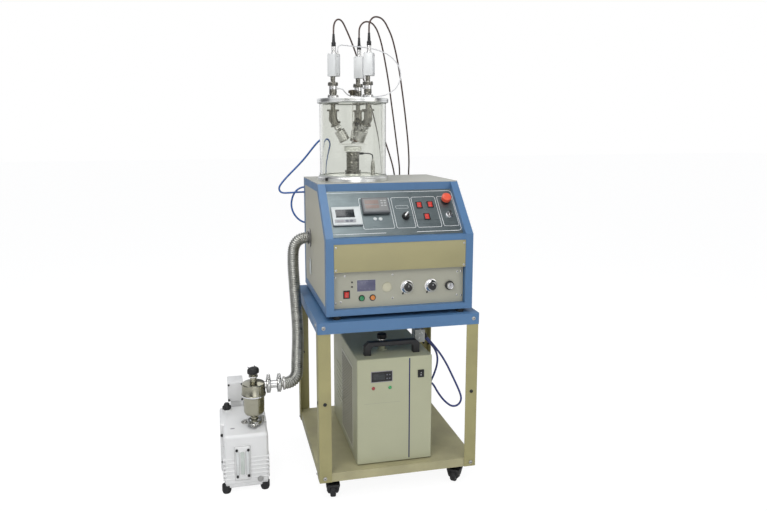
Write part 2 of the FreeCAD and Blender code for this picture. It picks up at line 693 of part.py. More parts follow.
def switch_bezels():
    frame = rocker_bezel("rocker_bezel")
    places = [desk_frame * spot(x, y, 0) for x, y in desk_rockers.values()]
    places += [rack_frame * spot(*rack_rocker, 0), chiller_frame * spot(*chiller_rocker_at, 0)]
    pieces = copies("rocker_bezel", frame, places)
    stop = round_collar("stop_collar", "stop_collar", "stop_stem + run_fit", "10", "12")
    stop.Placement = desk_frame * spot(*estop_at, 0)
    selector = round_collar("selector_collar", "selector_radius + 1.5", "spindle + run_fit", "4", "9")
    selector.Placement = desk_frame * spot(*selector_at, 0)
    key = round_collar("key_collar_ring", "key_collar", "key_radius + run_fit", "5", "15")
    key.Placement = desk_frame * spot(*key_at, 0)
    button = round_collar("button_ring", "button_collar", "button_radius + run_fit", "2.5", "14")
    buttons = copies("button_ring", button, [rack_frame * spot(*start_at, 0),
                                             rack_frame * spot(*stop_at, 0)])
    bush = round_collar("spindle_bush", "spindle + 5", "spindle + run_fit", "2", "8")
    bushes = copies("spindle_bush", bush, [rack_frame * spot(*at, 0)
                                           for at in (dial_1_at, dial_2_at, rack_knob_at)])
    pilot = turned("pilot_cap", [("0", "-8"), ("5", "-8"), ("5", "0"), ("7", "0"), ("6.5", "2.5"),
                                 ("0", "3.5")])
    pilots = copies("pilot_cap", pilot, [desk_frame * spot(x, y, 0) for x, y in pilot_buttons])
    plug = turned("blank_plug", [("0", "-6"), ("9", "-6"), ("9", "0"), ("18", "0"), ("17", "2.5"),
                                 ("0", "3")])
    plug.Placement = rack_frame * spot(*blank_at, 0)
    keep("switch_bezels", group("switch_bezels", pieces + [stop, selector, key, plug] + buttons
                                + bushes + pilots))


def rocker(name):
    """A rocker about x, with its two faces meeting low in the middle."""
    end = "rocker_length/2"
    return extruded(name, [(f"-{end}", "7"), ("0", "5.2"), (end, "7"), (end, "1"), ("6", "-6"),
                           ("-6", "-6"), (f"-{end}", "1")], "rocker_width", "YZ_Plane", midplane=True)


def rockers():
    rest = about_x(sizes["rocker_tilt"])
    for name, at in desk_rockers.items():
        keep(name, rocker(name), desk_frame * spot(*at, "-rocker_depth", rest))
    keep("rf_rocker", rocker("rf_rocker"), rack_frame * spot(*rack_rocker, "-rocker_depth", rest))
    keep("chiller_rocker", rocker("chiller_rocker"),
         chiller_frame * spot(*chiller_rocker_at, "-rocker_depth", rest))


def push_buttons():
    stop = turned("estop_button", [("0", "-4"), ("stop_stem", "-4"), ("stop_stem", "stop_lift + 1"),
                                   ("stop_radius - 2", "stop_lift + 0.5"),
                                   ("stop_radius", "stop_lift + 3"),
                                   ("stop_radius", "stop_lift + stop_height - 3"),
                                   ("stop_radius*0.75", "stop_lift + stop_height"),
                                   ("0", "stop_lift + stop_height + 1")])
    keep("estop_button", stop, desk_frame * spot(*estop_at, 0))
    for name, at in (("rf_start_button", start_at), ("rf_stop_button", stop_at)):
        button = turned(name, [("0", "-8"), ("button_radius", "-8"),
                               ("button_radius", "button_height - 1"),
                               ("button_radius - 1", "button_height"), ("0", "button_height + 0.4")])
        keep(name, button, rack_frame * spot(*at, 0))


def fluted_knob(name, radius, height, seat, flutes, flute, stem_depth):
    """A knob on a spindle, with grooves round its rim."""
    body = turned(name, [("0", f"-({stem_depth})"), ("spindle", f"-({stem_depth})"), ("spindle", seat),
                         (radius, seat), (radius, f"{seat} + {height} - 1.5"),
                         (f"{radius} - 1.5", f"{seat} + {height}"), ("0", f"{seat} + {height}")])
    doc.recompute()
    groove = sketch_on(body, "XY_Plane", seat)
    ring(groove, f"{radius} + {flute}*0.6", "0", flute)
    first = pocket(body, groove, height, reverse=True)
    spread = body.newObject("PartDesign::PolarPattern", f"{name}_flutes")
    spread.Originals = [first]
    spread.Axis = (groove, ["N_Axis"])
    spread.Angle = 360
    spread.Occurrences = flutes
    body.Tip = spread
    return body


def dials():
    for name, at in (("rf_dial_1", dial_1_at), ("rf_dial_2", dial_2_at)):
        dial = fluted_knob(name, "dial_radius", "dial_height", "2 + seat_gap", 20, "1.6", 6)
        keep(name, dial, rack_frame * spot(*at, 0))
    knob = fluted_knob("rf_knob", "knob_radius", "knob_tall", "2 + seat_gap", 16, "1.6", 6)
    keep("rf_knob", knob, rack_frame * spot(*rack_knob_at, 0))

    selector = turned("selector_knob", [("0", "-6"), ("spindle", "-6"), ("spindle", "4 + seat_gap"),
                                        ("selector_radius", "4 + seat_gap"),
                                        ("selector_radius - 1", "selector_tall - 6"),
                                        ("0", "selector_tall - 6")])
    grip = sketch_on(selector, "XY_Plane", "selector_tall - 7")
    oblong(grip, "0", "0", "8", "2*selector_radius - 4")
    pad(selector, grip, "9")
    keep("selector_knob", selector, desk_frame * spot(*selector_at, 0, about_z(-40)))

    key = turned("key_switch", [("0", "-12"), ("key_radius", "-12"), ("key_radius", "6"), ("0", "6")])
    bow = sketch_on(key, "XY_Plane", "5")
    oblong(bow, "0", "0", "3", "14")
    pad(key, bow, "20")
    keep("key_switch", key, desk_frame * spot(*key_at, 0))


# Chamber

flange_z = deck_z
glass_z = f"({deck_z} + base_height + seal_height)"
lid_z = f"({deck_z} + base_height + 2*seal_height + glass_height)"
chamber_spot = ("chamber_x", "chamber_y")


def chamber():
    base = turned("base_flange", [("0", "0"), ("flange_radius - 1", "0"), ("flange_radius", "1"),
                                  ("flange_radius", "base_height - base_step"),
                                  ("flange_radius - 1.5", "base_height - base_step + 1.5"),
                                  ("glass_radius + 3", "base_height - base_step + 1.5"),
                                  ("glass_radius + 3", "base_height"),
                                  ("0", "base_height")])
    keep("base_flange", base, spot(*chamber_spot, flange_z))

    inner = "(glass_radius - glass_wall)"
    glass = turned("quartz_cylinder", [(inner, "0"), ("glass_radius", "0"),
                                       ("glass_radius", "glass_height"), (inner, "glass_height")])
    keep("quartz_cylinder", glass, spot(*chamber_spot, glass_z))

    seal = turned("chamber_seal", [(f"{inner} - 3", "0"), ("glass_radius + seal_lip", "0"),
                                   ("glass_radius + seal_lip", "seal_height"),
                                   (f"{inner} - 3", "seal_height")])
    seals = copies("seal", seal, [spot(*chamber_spot, f"{deck_z} + base_height"),
                                  spot(*chamber_spot, f"{glass_z} + glass_height")])
    keep("chamber_seals", group("chamber_seals", seals))

    lid = turned("chamber_lid", [("0", "0"), ("flange_radius - lid_edge", "0"),
                                 ("flange_radius", "lid_edge"),
                                 ("flange_radius", "lid_height - lid_edge"),
                                 ("flange_radius - lid_edge", "lid_height"),
                                 ("bush_radius", "lid_height"),
                                 ("bush_radius", "lid_height + bush_height"),
                                 ("0", "lid_height + bush_height")])
    holes = sketch_on(lid, "XY_Plane")
    ring(holes, "0", "0", "shaft + run_fit")
    for turn in head_turns.values():
        ring(holes, f"head_circle*cos({turn} deg)", f"head_circle*sin({turn} deg)",
             "neck_radius + seat_gap")
    pocket(lid, holes, "3*lid_height", reverse=True)
    keep("chamber_lid", lid, spot(*chamber_spot, lid_z))


# The way each head lies from the chamber's axis, and how its box is turned

head_turns = {"1": 185.5, "2": 305.5, "3": 62}
box_turns = {"1": -46, "2": -27, "3": -27}


def stage():
    """The heated rotary stage: a column on a foot, and the table on its shaft."""
    bore = "stage_shaft + run_fit"
    column = turned("stage_column", [(bore, "3"), ("0", "3"), ("0", "0"), ("column_foot", "0"),
                                     ("column_foot", "6"),
                                     ("column_foot - 2", "column_foot_height - 6"),
                                     ("column_foot", "column_foot_height - 5"),
                                     ("column_foot", "column_foot_height"),
                                     ("column_radius", "column_foot_height"),
                                     ("column_radius", "column_height - 3"),
                                     ("column_radius + 2", "column_height - 3"),
                                     ("column_radius + 2", "column_height"), (bore, "column_height")])
    column.Placement = spot(*chamber_spot, f"{deck_z} + base_height")
    floor = number(f"{deck_z} + base_height")
    lead = tube("heater_lead", [(-78.8, 47.5, floor + 78), (-45, 62.7, floor + 80),
                                (-18, 74.9, floor + 77), (-11, 78, floor + 67), (-11, 78, floor + 54)], 2.5)
    sleeve = turned("lead_sleeve", [("0", "0"), ("8", "0"), ("8", "4"), ("5.5", "8"), ("6.5", "30"),
                                    ("5", "50"), ("3", "54"), ("0", "54")])
    sleeve.Placement = Placement(Vector(-11, 78, floor), Rotation())
    keep("stage_column", group("stage_column", [column, lead, sleeve]))
    table = turned("stage_table", [("0", "-column_height + 8"), ("stage_shaft", "-column_height + 8"),
                                   ("stage_shaft", "seat_gap"), ("12", "seat_gap"), ("12", "stage_gap"),
                                   ("stage_radius - 1", "stage_gap"), ("stage_radius", "stage_gap + 1"),
                                   ("stage_radius", "stage_gap + stage_height - 1"),
                                   ("stage_radius - 1", "stage_gap + stage_height"),
                                   ("stage_radius - 6", "stage_gap + stage_height"),
                                   ("stage_radius - 6", "stage_gap + stage_height - 1"),
                                   ("0", "stage_gap + stage_height - 1")])
    keep("stage_table", table, spot(*chamber_spot, f"{deck_z} + base_height + column_height"))


def shutter():
    """A knob above the lid, its shaft, and a blade with one window under the heads."""
    body = turned("shutter", [("0", "-blade_drop"), ("shaft + 4", "-blade_drop"),
                              ("shaft + 4", "-blade_drop + 6"), ("shaft", "-blade_drop + 8"),
                              ("shaft", "lid_height + bush_height + seat_gap"),
                              ("knob_hub - 2", "lid_height + bush_height + seat_gap"),
                              ("knob_hub", "lid_height + bush_height + 10"),
                              ("knob_hub", "lid_height + bush_height + 10 + knob_height"),
                              ("knob_hub - 2", "lid_height + bush_height + 12 + knob_height"),
                              ("0", "lid_height + bush_height + 12 + knob_height")])
    blade = sketch_on(body, "XY_Plane", "-blade_drop")
    ring(blade, "0", "0", "blade_radius")
    pad(body, blade, "blade_wall")
    window = sketch_on(body, "XY_Plane", "-blade_drop + blade_wall")
    ring(window, "-(head_circle - 44)", "0", "blade_window")
    pocket(body, window, "2*blade_wall")
    doc.recompute()
    lobe = sketch_on(body, "XY_Plane", "lid_height + bush_height + 10")
    ring(lobe, "knob_reach", "0", "knob_lobe")
    first = pad(body, lobe, "knob_height")
    spread = body.newObject("PartDesign::PolarPattern", "knob_lobes")
    spread.Originals = [first]
    spread.Axis = (lobe, ["N_Axis"])
    spread.Angle = 360
    spread.Occurrences = 4
    body.Tip = spread
    keep("shutter", body, spot(*chamber_spot, lid_z, about_z(125.5)))


# Sputtering heads. Each is drawn about its stem, with z = 0 at the lid's underside and +x
# towards the chamber's axis

def head_mount():
    """What the lid carries: collars, stem, body and the upright part of the elbow."""
    spine = turned("head_spine", [("0", "-elbow_drop"), ("elbow_radius", "-elbow_drop"),
                                  ("elbow_radius", "-32"), ("shield_radius", "-32"),
                                  ("shield_radius", "-32 + shield_height"),
                                  ("stem_radius", "-32 + shield_height"), ("stem_radius", "-5"),
                                  ("collar_radius", "-5"), ("collar_radius", "0"), ("neck_radius", "0"),
                                  ("neck_radius", "lid_height"), ("collar_radius", "lid_height"),
                                  ("collar_radius", "lid_height + collar_height"),
                                  ("neck_radius", "lid_height + collar_height"),
                                  ("neck_radius", "lid_height + collar_height + 5"),
                                  ("body_radius", "lid_height + collar_height + 5"),
                                  ("body_radius", "lid_height + collar_height + 5 + body_height"),
                                  ("body_radius + 5", "lid_height + collar_height + 5 + body_height"),
                                  ("body_radius + 5", "lid_height + collar_height + 17 + body_height"),
                                  ("stem_radius", "lid_height + collar_height + 17 + body_height"),
                                  ("stem_radius", "lid_height + collar_height + 17 + body_height + stem_height"),
                                  ("0", "lid_height + collar_height + 17 + body_height + stem_height")])
    nozzle = drum("gas_nozzle", "gas_radius + 1.3", "24", (0, 0, 54), about_y(90))
    return [spine, nozzle]


def build_head_mounts():
    tilt = spot(0, 0, "-elbow_drop", about_y(-sizes["head_tilt"]))
    tube = drum("elbow_tube", "elbow_radius", "elbow_reach + 8", (0, 0, "-elbow_reach"))
    width = "lug_width + 2*seat_gap + 2*fork_cheek"
    cheeks = block("fork_block", ("2*lug_radius", width, "pivot_reach - elbow_reach + lug_radius"),
                   (0, 0, "-pivot_reach - lug_radius"))
    slot = block("fork_slot", ("4*lug_radius", "lug_width + 2*seat_gap",
                               "pivot_reach - elbow_reach + lug_radius + 1"),
                 (0, 0, "-pivot_reach - lug_radius - 1"))
    fork = cut("head_cheeks", cheeks, [slot])
    pin = drum("tilt_pin", "pin", f"{width} + 8", (0, f"({width})/2 + 4", "-pivot_reach"), about_x(90))
    wings = [block("tilt_wing", ("18", "3", "6"), (0, f"({width})/2 + 3.5", "-pivot_reach - 3")),
             block("tilt_wing", ("18", "3", "6"), (0, f"-({width})/2 - 3.5", "-pivot_reach - 3"))]
    arm = joined("head_arm", [tube, fork, pin] + wings)
    arm.Placement = tilt
    mount = joined("head_mount", head_mount() + [arm])
    places = [chamber_place(turn) for turn in head_turns.values()]
    keep("head_mounts", group("head_mounts", copies("head_mount", mount, places)))


def chamber_place(turn):
    """Stand at one head's stem, with +x pointing at the chamber's axis."""
    return spot(*chamber_spot, lid_z) * Placement(Vector(0, 0, 0), about_z(turn)) * spot(
        "head_circle", 0, 0, about_z(180))


def gun(name):
    """A sputtering gun hung from its lug. z = 0 is the tilt pin."""
    body = turned(name, [("0", "-gun_length"), ("gun_radius - 7", "-gun_length"),
                         ("gun_radius - 7", "-gun_length + 2"), ("gun_radius - 4", "-gun_length + 2"),
                         ("gun_radius - 4", "-gun_length"), ("gun_radius - 0.5", "-gun_length"),
                         ("gun_radius", "-gun_length + 1"), ("gun_radius", "-gun_length + gun_cap"),
                         ("gun_radius - 1.5", "-gun_length + gun_cap + 1"),
                         ("gun_radius - 1.5", "-gun_neck - 6"), ("gun_radius - 7", "-gun_neck"),
                         ("0", "-gun_neck")])
    lug = sketch_on(body, "XZ_Plane")
    outline(lug, [("-lug_radius", "-gun_neck - 2"), ("lug_radius", "-gun_neck - 2"),
                  ("lug_radius", "2"), ("lug_radius - 4", "lug_radius"),
                  ("-lug_radius + 4", "lug_radius"), ("-lug_radius", "2")])
    pad(body, lug, "lug_width", midplane=True)
    bore = sketch_on(body, "XZ_Plane")
    ring(bore, "0", "0", "pin + run_fit")
    pocket(body, bore, "2*gun_radius", midplane=True)
    return body


def heads():
    for label, turn in head_turns.items():
        name = f"sputter_head_{label}"
        tilt = spot(0, 0, "-elbow_drop", about_y(-sizes["head_tilt"])) * spot(0, 0, "-pivot_reach")
        keep(name, gun(name), chamber_place(turn) * tilt)


def connector_boxes():
    """A screened box on each stem, with its socket, the cable's plug and a strain relief."""
    low = "lid_height + collar_height + 17 + body_height + stem_height"
    shell = block("box_shell", ("box_width", "box_width", "box_height"), (0, 0, 0))
    inside = block("box_inside", ("box_width - 2*box_wall", "box_width - 2*box_wall",
                                  "box_height - 2*box_wall"), (0, 0, "box_wall"))
    box = cut("box", shell, [inside])
    top = "box_height"
    fitting = turned("coax_socket", [("0", top), ("socket_radius + 3", top),
                                     ("socket_radius + 3", f"{top} + 3"),
                                     ("socket_radius", f"{top} + 3"),
                                     ("socket_radius", f"{top} + socket_height"),
                                     ("0", f"{top} + socket_height")])
    plug_low = f"{top} + socket_height"
    plug = turned("coax_plug", [("0", plug_low), ("plug_radius", plug_low),
                                ("plug_radius", f"{plug_low} + plug_height"),
                                ("relief_radius + 1.5", f"{plug_low} + plug_height"),
                                ("relief_radius", f"{plug_low} + plug_height + relief_height"),
                                ("0", f"{plug_low} + plug_height + relief_height")])
    pieces = []
    for label, turn in head_turns.items():
        stem = chamber_place(turn).Base + Vector(0, 0, number(low))
        place = Placement(stem, about_z(box_turns[label])) * spot("box_shift", 0, 0)
        for master in (box, fitting, plug):
            pieces += copies(f"{master.Name}_{label}", master, [place])
    nozzle = turned("box_nozzle", [("0", "0"), ("gas_radius + 2", "0"), ("gas_radius + 2", "5"),
                                   ("gas_radius + 0.8", "6"), ("gas_radius + 0.8", "10"), ("0", "10")])
    nozzle.Placement = Placement(Vector(-161, 28, number(f"{lid_z} + {low} + box_height")), Rotation())
    pieces.append(nozzle)
    keep("connector_boxes", group("connector_boxes", pieces))


# Chiller

def chiller():
    """A chiller case with two front covers, a louvred side, a carry handle and a filler."""
    z = "caster_height + shelf_rim + chiller_foot"
    middle = "chiller_front + chiller_depth/2"
    body = new_body("chiller_case")
    plan = sketch_on(body, "XY_Plane")
    oblong(plan, "0", "0", "chiller_width", "chiller_depth")
    pad(body, plan, "chiller_height")
    softened(body, "chiller_edge", lambda edge: upright(edge) or (
        edge.CenterOfMass.z > number("chiller_height") - 1))
    seam = sketch_on(body, "XZ_Plane", "chiller_depth/2")
    oblong(seam, "55.5", "chiller_height/2", "3", "chiller_height - 12")
    pocket(body, seam, "3")
    screen = sketch_on(body, "XZ_Plane", "chiller_depth/2")
    oblong(screen, "-50", "332", "78", "38")
    pocket(body, screen, "2")
    socket = sketch_on(body, "XZ_Plane", "chiller_depth/2")
    oblong(socket, *[str(value) for value in chiller_rocker_at], *rocker_opening)
    pocket(body, socket, "bezel_depth")
    doc.recompute()
    vent = sketch_on(body, "YZ_Plane", "-chiller_width/2")
    oblong(vent, "40", "110", "260", "louvre_slot")
    slot = pocket(body, vent, "1.4", reverse=True)
    rows = body.newObject("PartDesign::LinearPattern", "chiller_louvres")
    rows.Originals = [slot]
    rows.Direction = (vent, ["V_Axis"])
    rows.setExpression("Length", formula("louvre_pitch*(louvre_count - 1)"))
    rows.setExpression("Occurrences", formula("louvre_count"))
    body.Tip = rows
    front_wall = "bezel_depth + chiller_wall"
    inside = block("chiller_inside", ("chiller_width - 2*chiller_wall",
                                      f"chiller_depth - chiller_wall - ({front_wall})",
                                      "chiller_height - 2*chiller_wall"),
                   (0, f"(({front_wall}) - chiller_wall)/2", "chiller_wall"))
    case = cut("chiller_shell", body, [inside])
    case.Placement = spot("chiller_x", middle, z)

    top = f"{z} + chiller_height"
    neck = turned("filler_neck", [("0", "0"), ("cap_radius + 2", "0"), ("cap_radius + 2", "3"),
                                  ("cap_radius", "4"), ("neck_bore - seat_gap", "4"),
                                  ("neck_bore - seat_gap", "neck_height + cap_bore - seat_gap"),
                                  ("0", "neck_height + cap_bore - seat_gap")])
    neck.Placement = spot("cap_x", "cap_y", top)
    port = turned("water_port", [("0", "0"), ("barb + 5", "0"), ("barb + 5", "3"), ("barb", "4"),
                                 ("barb", "port_reach"), ("0", "port_reach")])
    side = "chiller_x + chiller_width/2"
    ports = copies("water_port", port, [spot(side, -112, 352, about_y(90)),
                                        spot(side, -88, 318, about_y(90))])
    keep("chiller_housing", group("chiller_housing", [case, neck] + ports))

    half = "handle_width/2"
    handle = extruded("chiller_handle", [
        (f"-{half}", "0"), (f"-{half} + 26", "0"), (f"-{half} + 26", "handle_height - handle_bar - 8"),
        (f"-{half} + 34", "handle_height - handle_bar"), (f"{half} - 34", "handle_height - handle_bar"),
        (f"{half} - 26", "handle_height - handle_bar - 8"), (f"{half} - 26", "0"), (half, "0"),
        (half, "handle_height - 14"), (f"{half} - 14", "handle_height"),
        (f"-{half} + 14", "handle_height"), (f"-{half}", "handle_height - 14")],
        "handle_depth", "XZ_Plane", midplane=True)
    softened(handle, 4, lambda edge: edge.CenterOfMass.z > 6 and not along_y(edge))
    keep("chiller_handle", handle, spot("chiller_x", "handle_y", top))

    filler = turned("chiller_cap", [("neck_bore", "neck_height"), ("cap_radius - 1", "neck_height"),
                                    ("cap_radius", "neck_height + 1"),
                                    ("cap_radius", "neck_height + cap_height - 3"),
                                    ("cap_radius - 3", "neck_height + cap_height"),
                                    ("0", "neck_height + cap_height"), ("0", "neck_height + cap_bore"),
                                    ("neck_bore", "neck_height + cap_bore")])
    keep("chiller_cap", filler, spot("cap_x", "cap_y", top))


def along_y(edge):
    return edge.Curve.TypeId == "Part::GeomLine" and abs(edge.tangentAt(0).y) > 0.99


# Pump and its inlet

def pump():
    """A ribbed rotary vane pump with its motor, terminal box and sight glass plate."""
    middle = "pump_front + pump_length/2"
    body = new_body("pump_case")
    front = sketch_on(body, "XZ_Plane")
    half = "pump_width/2"
    outline(front, [(f"-{half} + 22", "pump_base"), (f"{half} - 14", "pump_base"), (half, "pump_base + 14"),
                    (f"{half} - 4", "pump_top - 60"), (f"{half} - 4", "pump_top - 6"),
                    (f"{half} - 10", "pump_top"), (f"-{half} + 6", "pump_top"),
                    (f"-{half}", "pump_top - 6"), (f"-{half} + 8", "pump_base + 20")])
    pad(body, front, "pump_length", midplane=True)
    doc.recompute()
    for side, turn in (("-", False), ("", True)):
        groove = sketch_on(body, "YZ_Plane", f"{side}({half})")
        oblong(groove, "0", "pump_base + 26", "pump_length - 24", "fin")
        first = pocket(body, groove, "14", reverse=not turn)
        rows = body.newObject("PartDesign::LinearPattern", "pump_ribs")
        rows.Originals = [first]
        rows.Direction = (groove, ["V_Axis"])
        rows.setExpression("Length", formula("fin_pitch*5"))
        rows.Occurrences = 6
        body.Tip = rows
        doc.recompute()
    plate = sketch_on(body, "XZ_Plane", "pump_length/2")
    oblong(plate, "-14", "118", "gauge_width", "gauge_height")
    pad(body, plate, "6")
    glass = sketch_on(body, "XZ_Plane", "pump_length/2 + 6")
    oblong(glass, "-14", "118", "14", "84")
    pocket(body, glass, "3")
    drain = sketch_on(body, "XZ_Plane", "pump_length/2")
    ring(drain, "50", "60", "11")
    pad(body, drain, "8")
    inlet = sketch_on(body, "XY_Plane", "pump_top")
    ring(inlet, "trap_x - pump_x", "trap_y - (pump_front + pump_length/2)", "kf_radius")
    pad(body, inlet, "inlet_height")
    body.Placement = spot("pump_x", middle, 0)

    motor = turned("pump_motor", [("0", "0"), ("motor_radius", "0"), ("motor_radius", "motor_length - 40"),
                                  ("motor_radius + 2", "motor_length - 38"),
                                  ("motor_radius + 2", "motor_length - 8"),
                                  ("motor_radius - 6", "motor_length"), ("0", "motor_length")])
    motor_z = "pump_base + motor_radius + motor_rise"
    motor.Placement = spot("pump_x", "pump_front + pump_length", motor_z, about_x(-90))
    behind = "pump_front + pump_length + 2"
    terminal = block("terminal_box", ("term_width", "term_length", "term_height"),
                     ("pump_x - 24", f"{behind} + term_length/2", "term_low"))
    neck = block("terminal_neck", ("40", "term_length - 20", f"term_low - ({motor_z})"),
                 ("pump_x - 24", f"{behind} + term_length/2", motor_z))
    foot_y = "pump_front + pump_length + motor_length/2"
    cradle = cut("motor_foot", block("motor_cradle", ("90", "50", motor_z), ("pump_x", foot_y, "0")),
                 [drum("motor_seat", "motor_radius", "60", ("pump_x", f"{foot_y} + 30", motor_z),
                       about_x(90))])
    seat = turned("ballast_seat", [("4", "0"), ("20", "0"), ("20", "ballast_seat - 1"),
                                   ("19", "ballast_seat"), ("4", "ballast_seat")])
    seat.Placement = spot("ballast_x", "ballast_y", "pump_top")
    drive = joined("pump_drive", [motor, neck, terminal])
    keep("pump_housing", group("pump_housing", [body, drive, cradle, seat]))

    knob = turned("pump_ballast_knob", [("0", "-ballast_seat + seat_gap"),
                                        ("4 - run_fit", "-ballast_seat + seat_gap"),
                                        ("4 - run_fit", "seat_gap"), ("15", "seat_gap"), ("16", "8"),
                                        ("13", "16"), ("9", "24"), ("0", "25")])
    keep("pump_ballast_knob", knob, spot("ballast_x", "ballast_y", "pump_top + ballast_seat"))


def inlet_trap():
    """A stainless canister on the pump's inlet, with a side port and a hand valve on top."""
    can = turned("trap_can", [("0", "trap_base"), ("trap_low_radius - 6", "trap_base"),
                              ("trap_low_radius", "trap_base + 6"), ("trap_low_radius", "trap_band - 6"),
                              ("trap_radius + 3", "trap_band - 5"), ("trap_radius + 3", "trap_band + 5"),
                              ("trap_radius", "trap_band + 6"), ("trap_radius", "trap_top - 4"),
                              ("trap_radius - 4", "trap_top"), ("12", "trap_top"),
                              ("12", "stem_top - 12"), ("8", "stem_top - 12"), ("8", "stem_top"),
                              ("0", "stem_top")])
    neck = drum("trap_neck", "tube_radius", "trap_base - pump_top - inlet_height + 2",
                (0, 0, "pump_top + inlet_height"))
    low_flange = drum("low_flange", "kf_radius", "2*kf_half", (0, 0, "pump_top + inlet_height"))
    port = drum("side_port", "tube_radius", "kf_two + kf_half - 30", (30, 0, "port_height"), about_y(90))
    flanges = [drum("port_flange", "kf_radius", "2*kf_half", (f"{reach} - kf_half", 0, "port_height"),
                    about_y(90)) for reach in ("kf_one", "kf_two")]
    trap = joined("inlet_trap", [can, neck, low_flange, port] + flanges)
    keep("inlet_trap", trap, spot("trap_x", "trap_y", 0))

    knob = new_body("trap_knob")
    face = sketch_on(knob, "XY_Plane", "seat_gap")
    corners = [(f"{reach}*cos({turn} deg)", f"{reach}*sin({turn} deg)*0.72")
               for turn, reach in ((0, 23), (30, 23), (60, 20), (90, 20), (120, 20), (150, 23), (180, 23),
                                   (210, 23), (240, 20), (270, 20), (300, 20), (330, 23))]
    outline(face, corners)
    pad(knob, face, "wing_height - 3")
    softened(knob, 5, lambda edge: edge.CenterOfMass.z > number("wing_height") - 4)
    keep("trap_knob", knob, spot("trap_x", "trap_y", "stem_top", about_z(20)))

    clamp = turned("clamp_band", [("kf_radius + seat_gap", "-clamp_half"),
                                  ("clamp_radius - 3", "-clamp_half"),
                                  ("clamp_radius", "-clamp_half + 3"), ("clamp_radius", "clamp_half - 3"),
                                  ("clamp_radius - 3", "clamp_half"),
                                  ("kf_radius + seat_gap", "clamp_half")])
    ears = block("clamp_ears", ("12", "16", "2*clamp_half - 4"), ("clamp_radius + 3", 0, "2 - clamp_half"))
    screw = drum("clamp_screw", "2.5", "34", ("clamp_radius + 4", "22", "0"), about_x(90))
    wing = block("clamp_wing", ("24", "4", "7"), ("clamp_radius + 4", "17", "-3.5"))
    nut = drum("clamp_nut", "5", "9", ("clamp_radius + 4", "19", "0"), about_x(90))
    whole = joined("kf_clamp", [clamp, ears, screw, wing, nut])
    port = spot("trap_x", "trap_y", "port_height")
    places = [port * spot(reach, 0, 0, about_y(90) * about_z(180)) for reach in ("kf_one", "kf_two")]
    places.append(spot("trap_x", "trap_y", "pump_top + inlet_height", about_z(-120)))
    cuff = turned("hose_cuff", [("0", "0"), ("kf_radius", "0"), ("kf_radius", "2*kf_half"),
                                ("tube_radius", "2*kf_half + 2"), ("tube_radius", "clamp_half + 2"),
                                ("hose_radius + 1", "clamp_half + 3"), ("hose_radius + 1", "15"),
                                ("0", "15")])
    cuff.Placement = port * spot("kf_two + kf_half", 0, 0, about_y(90))
    keep("kf_clamps", group("kf_clamps", copies("kf_clamp", whole, places) + [cuff]))


# Cords. Each route is straight runs joined by arcs as large as the runs allow; its points are
# in this layout's own frame

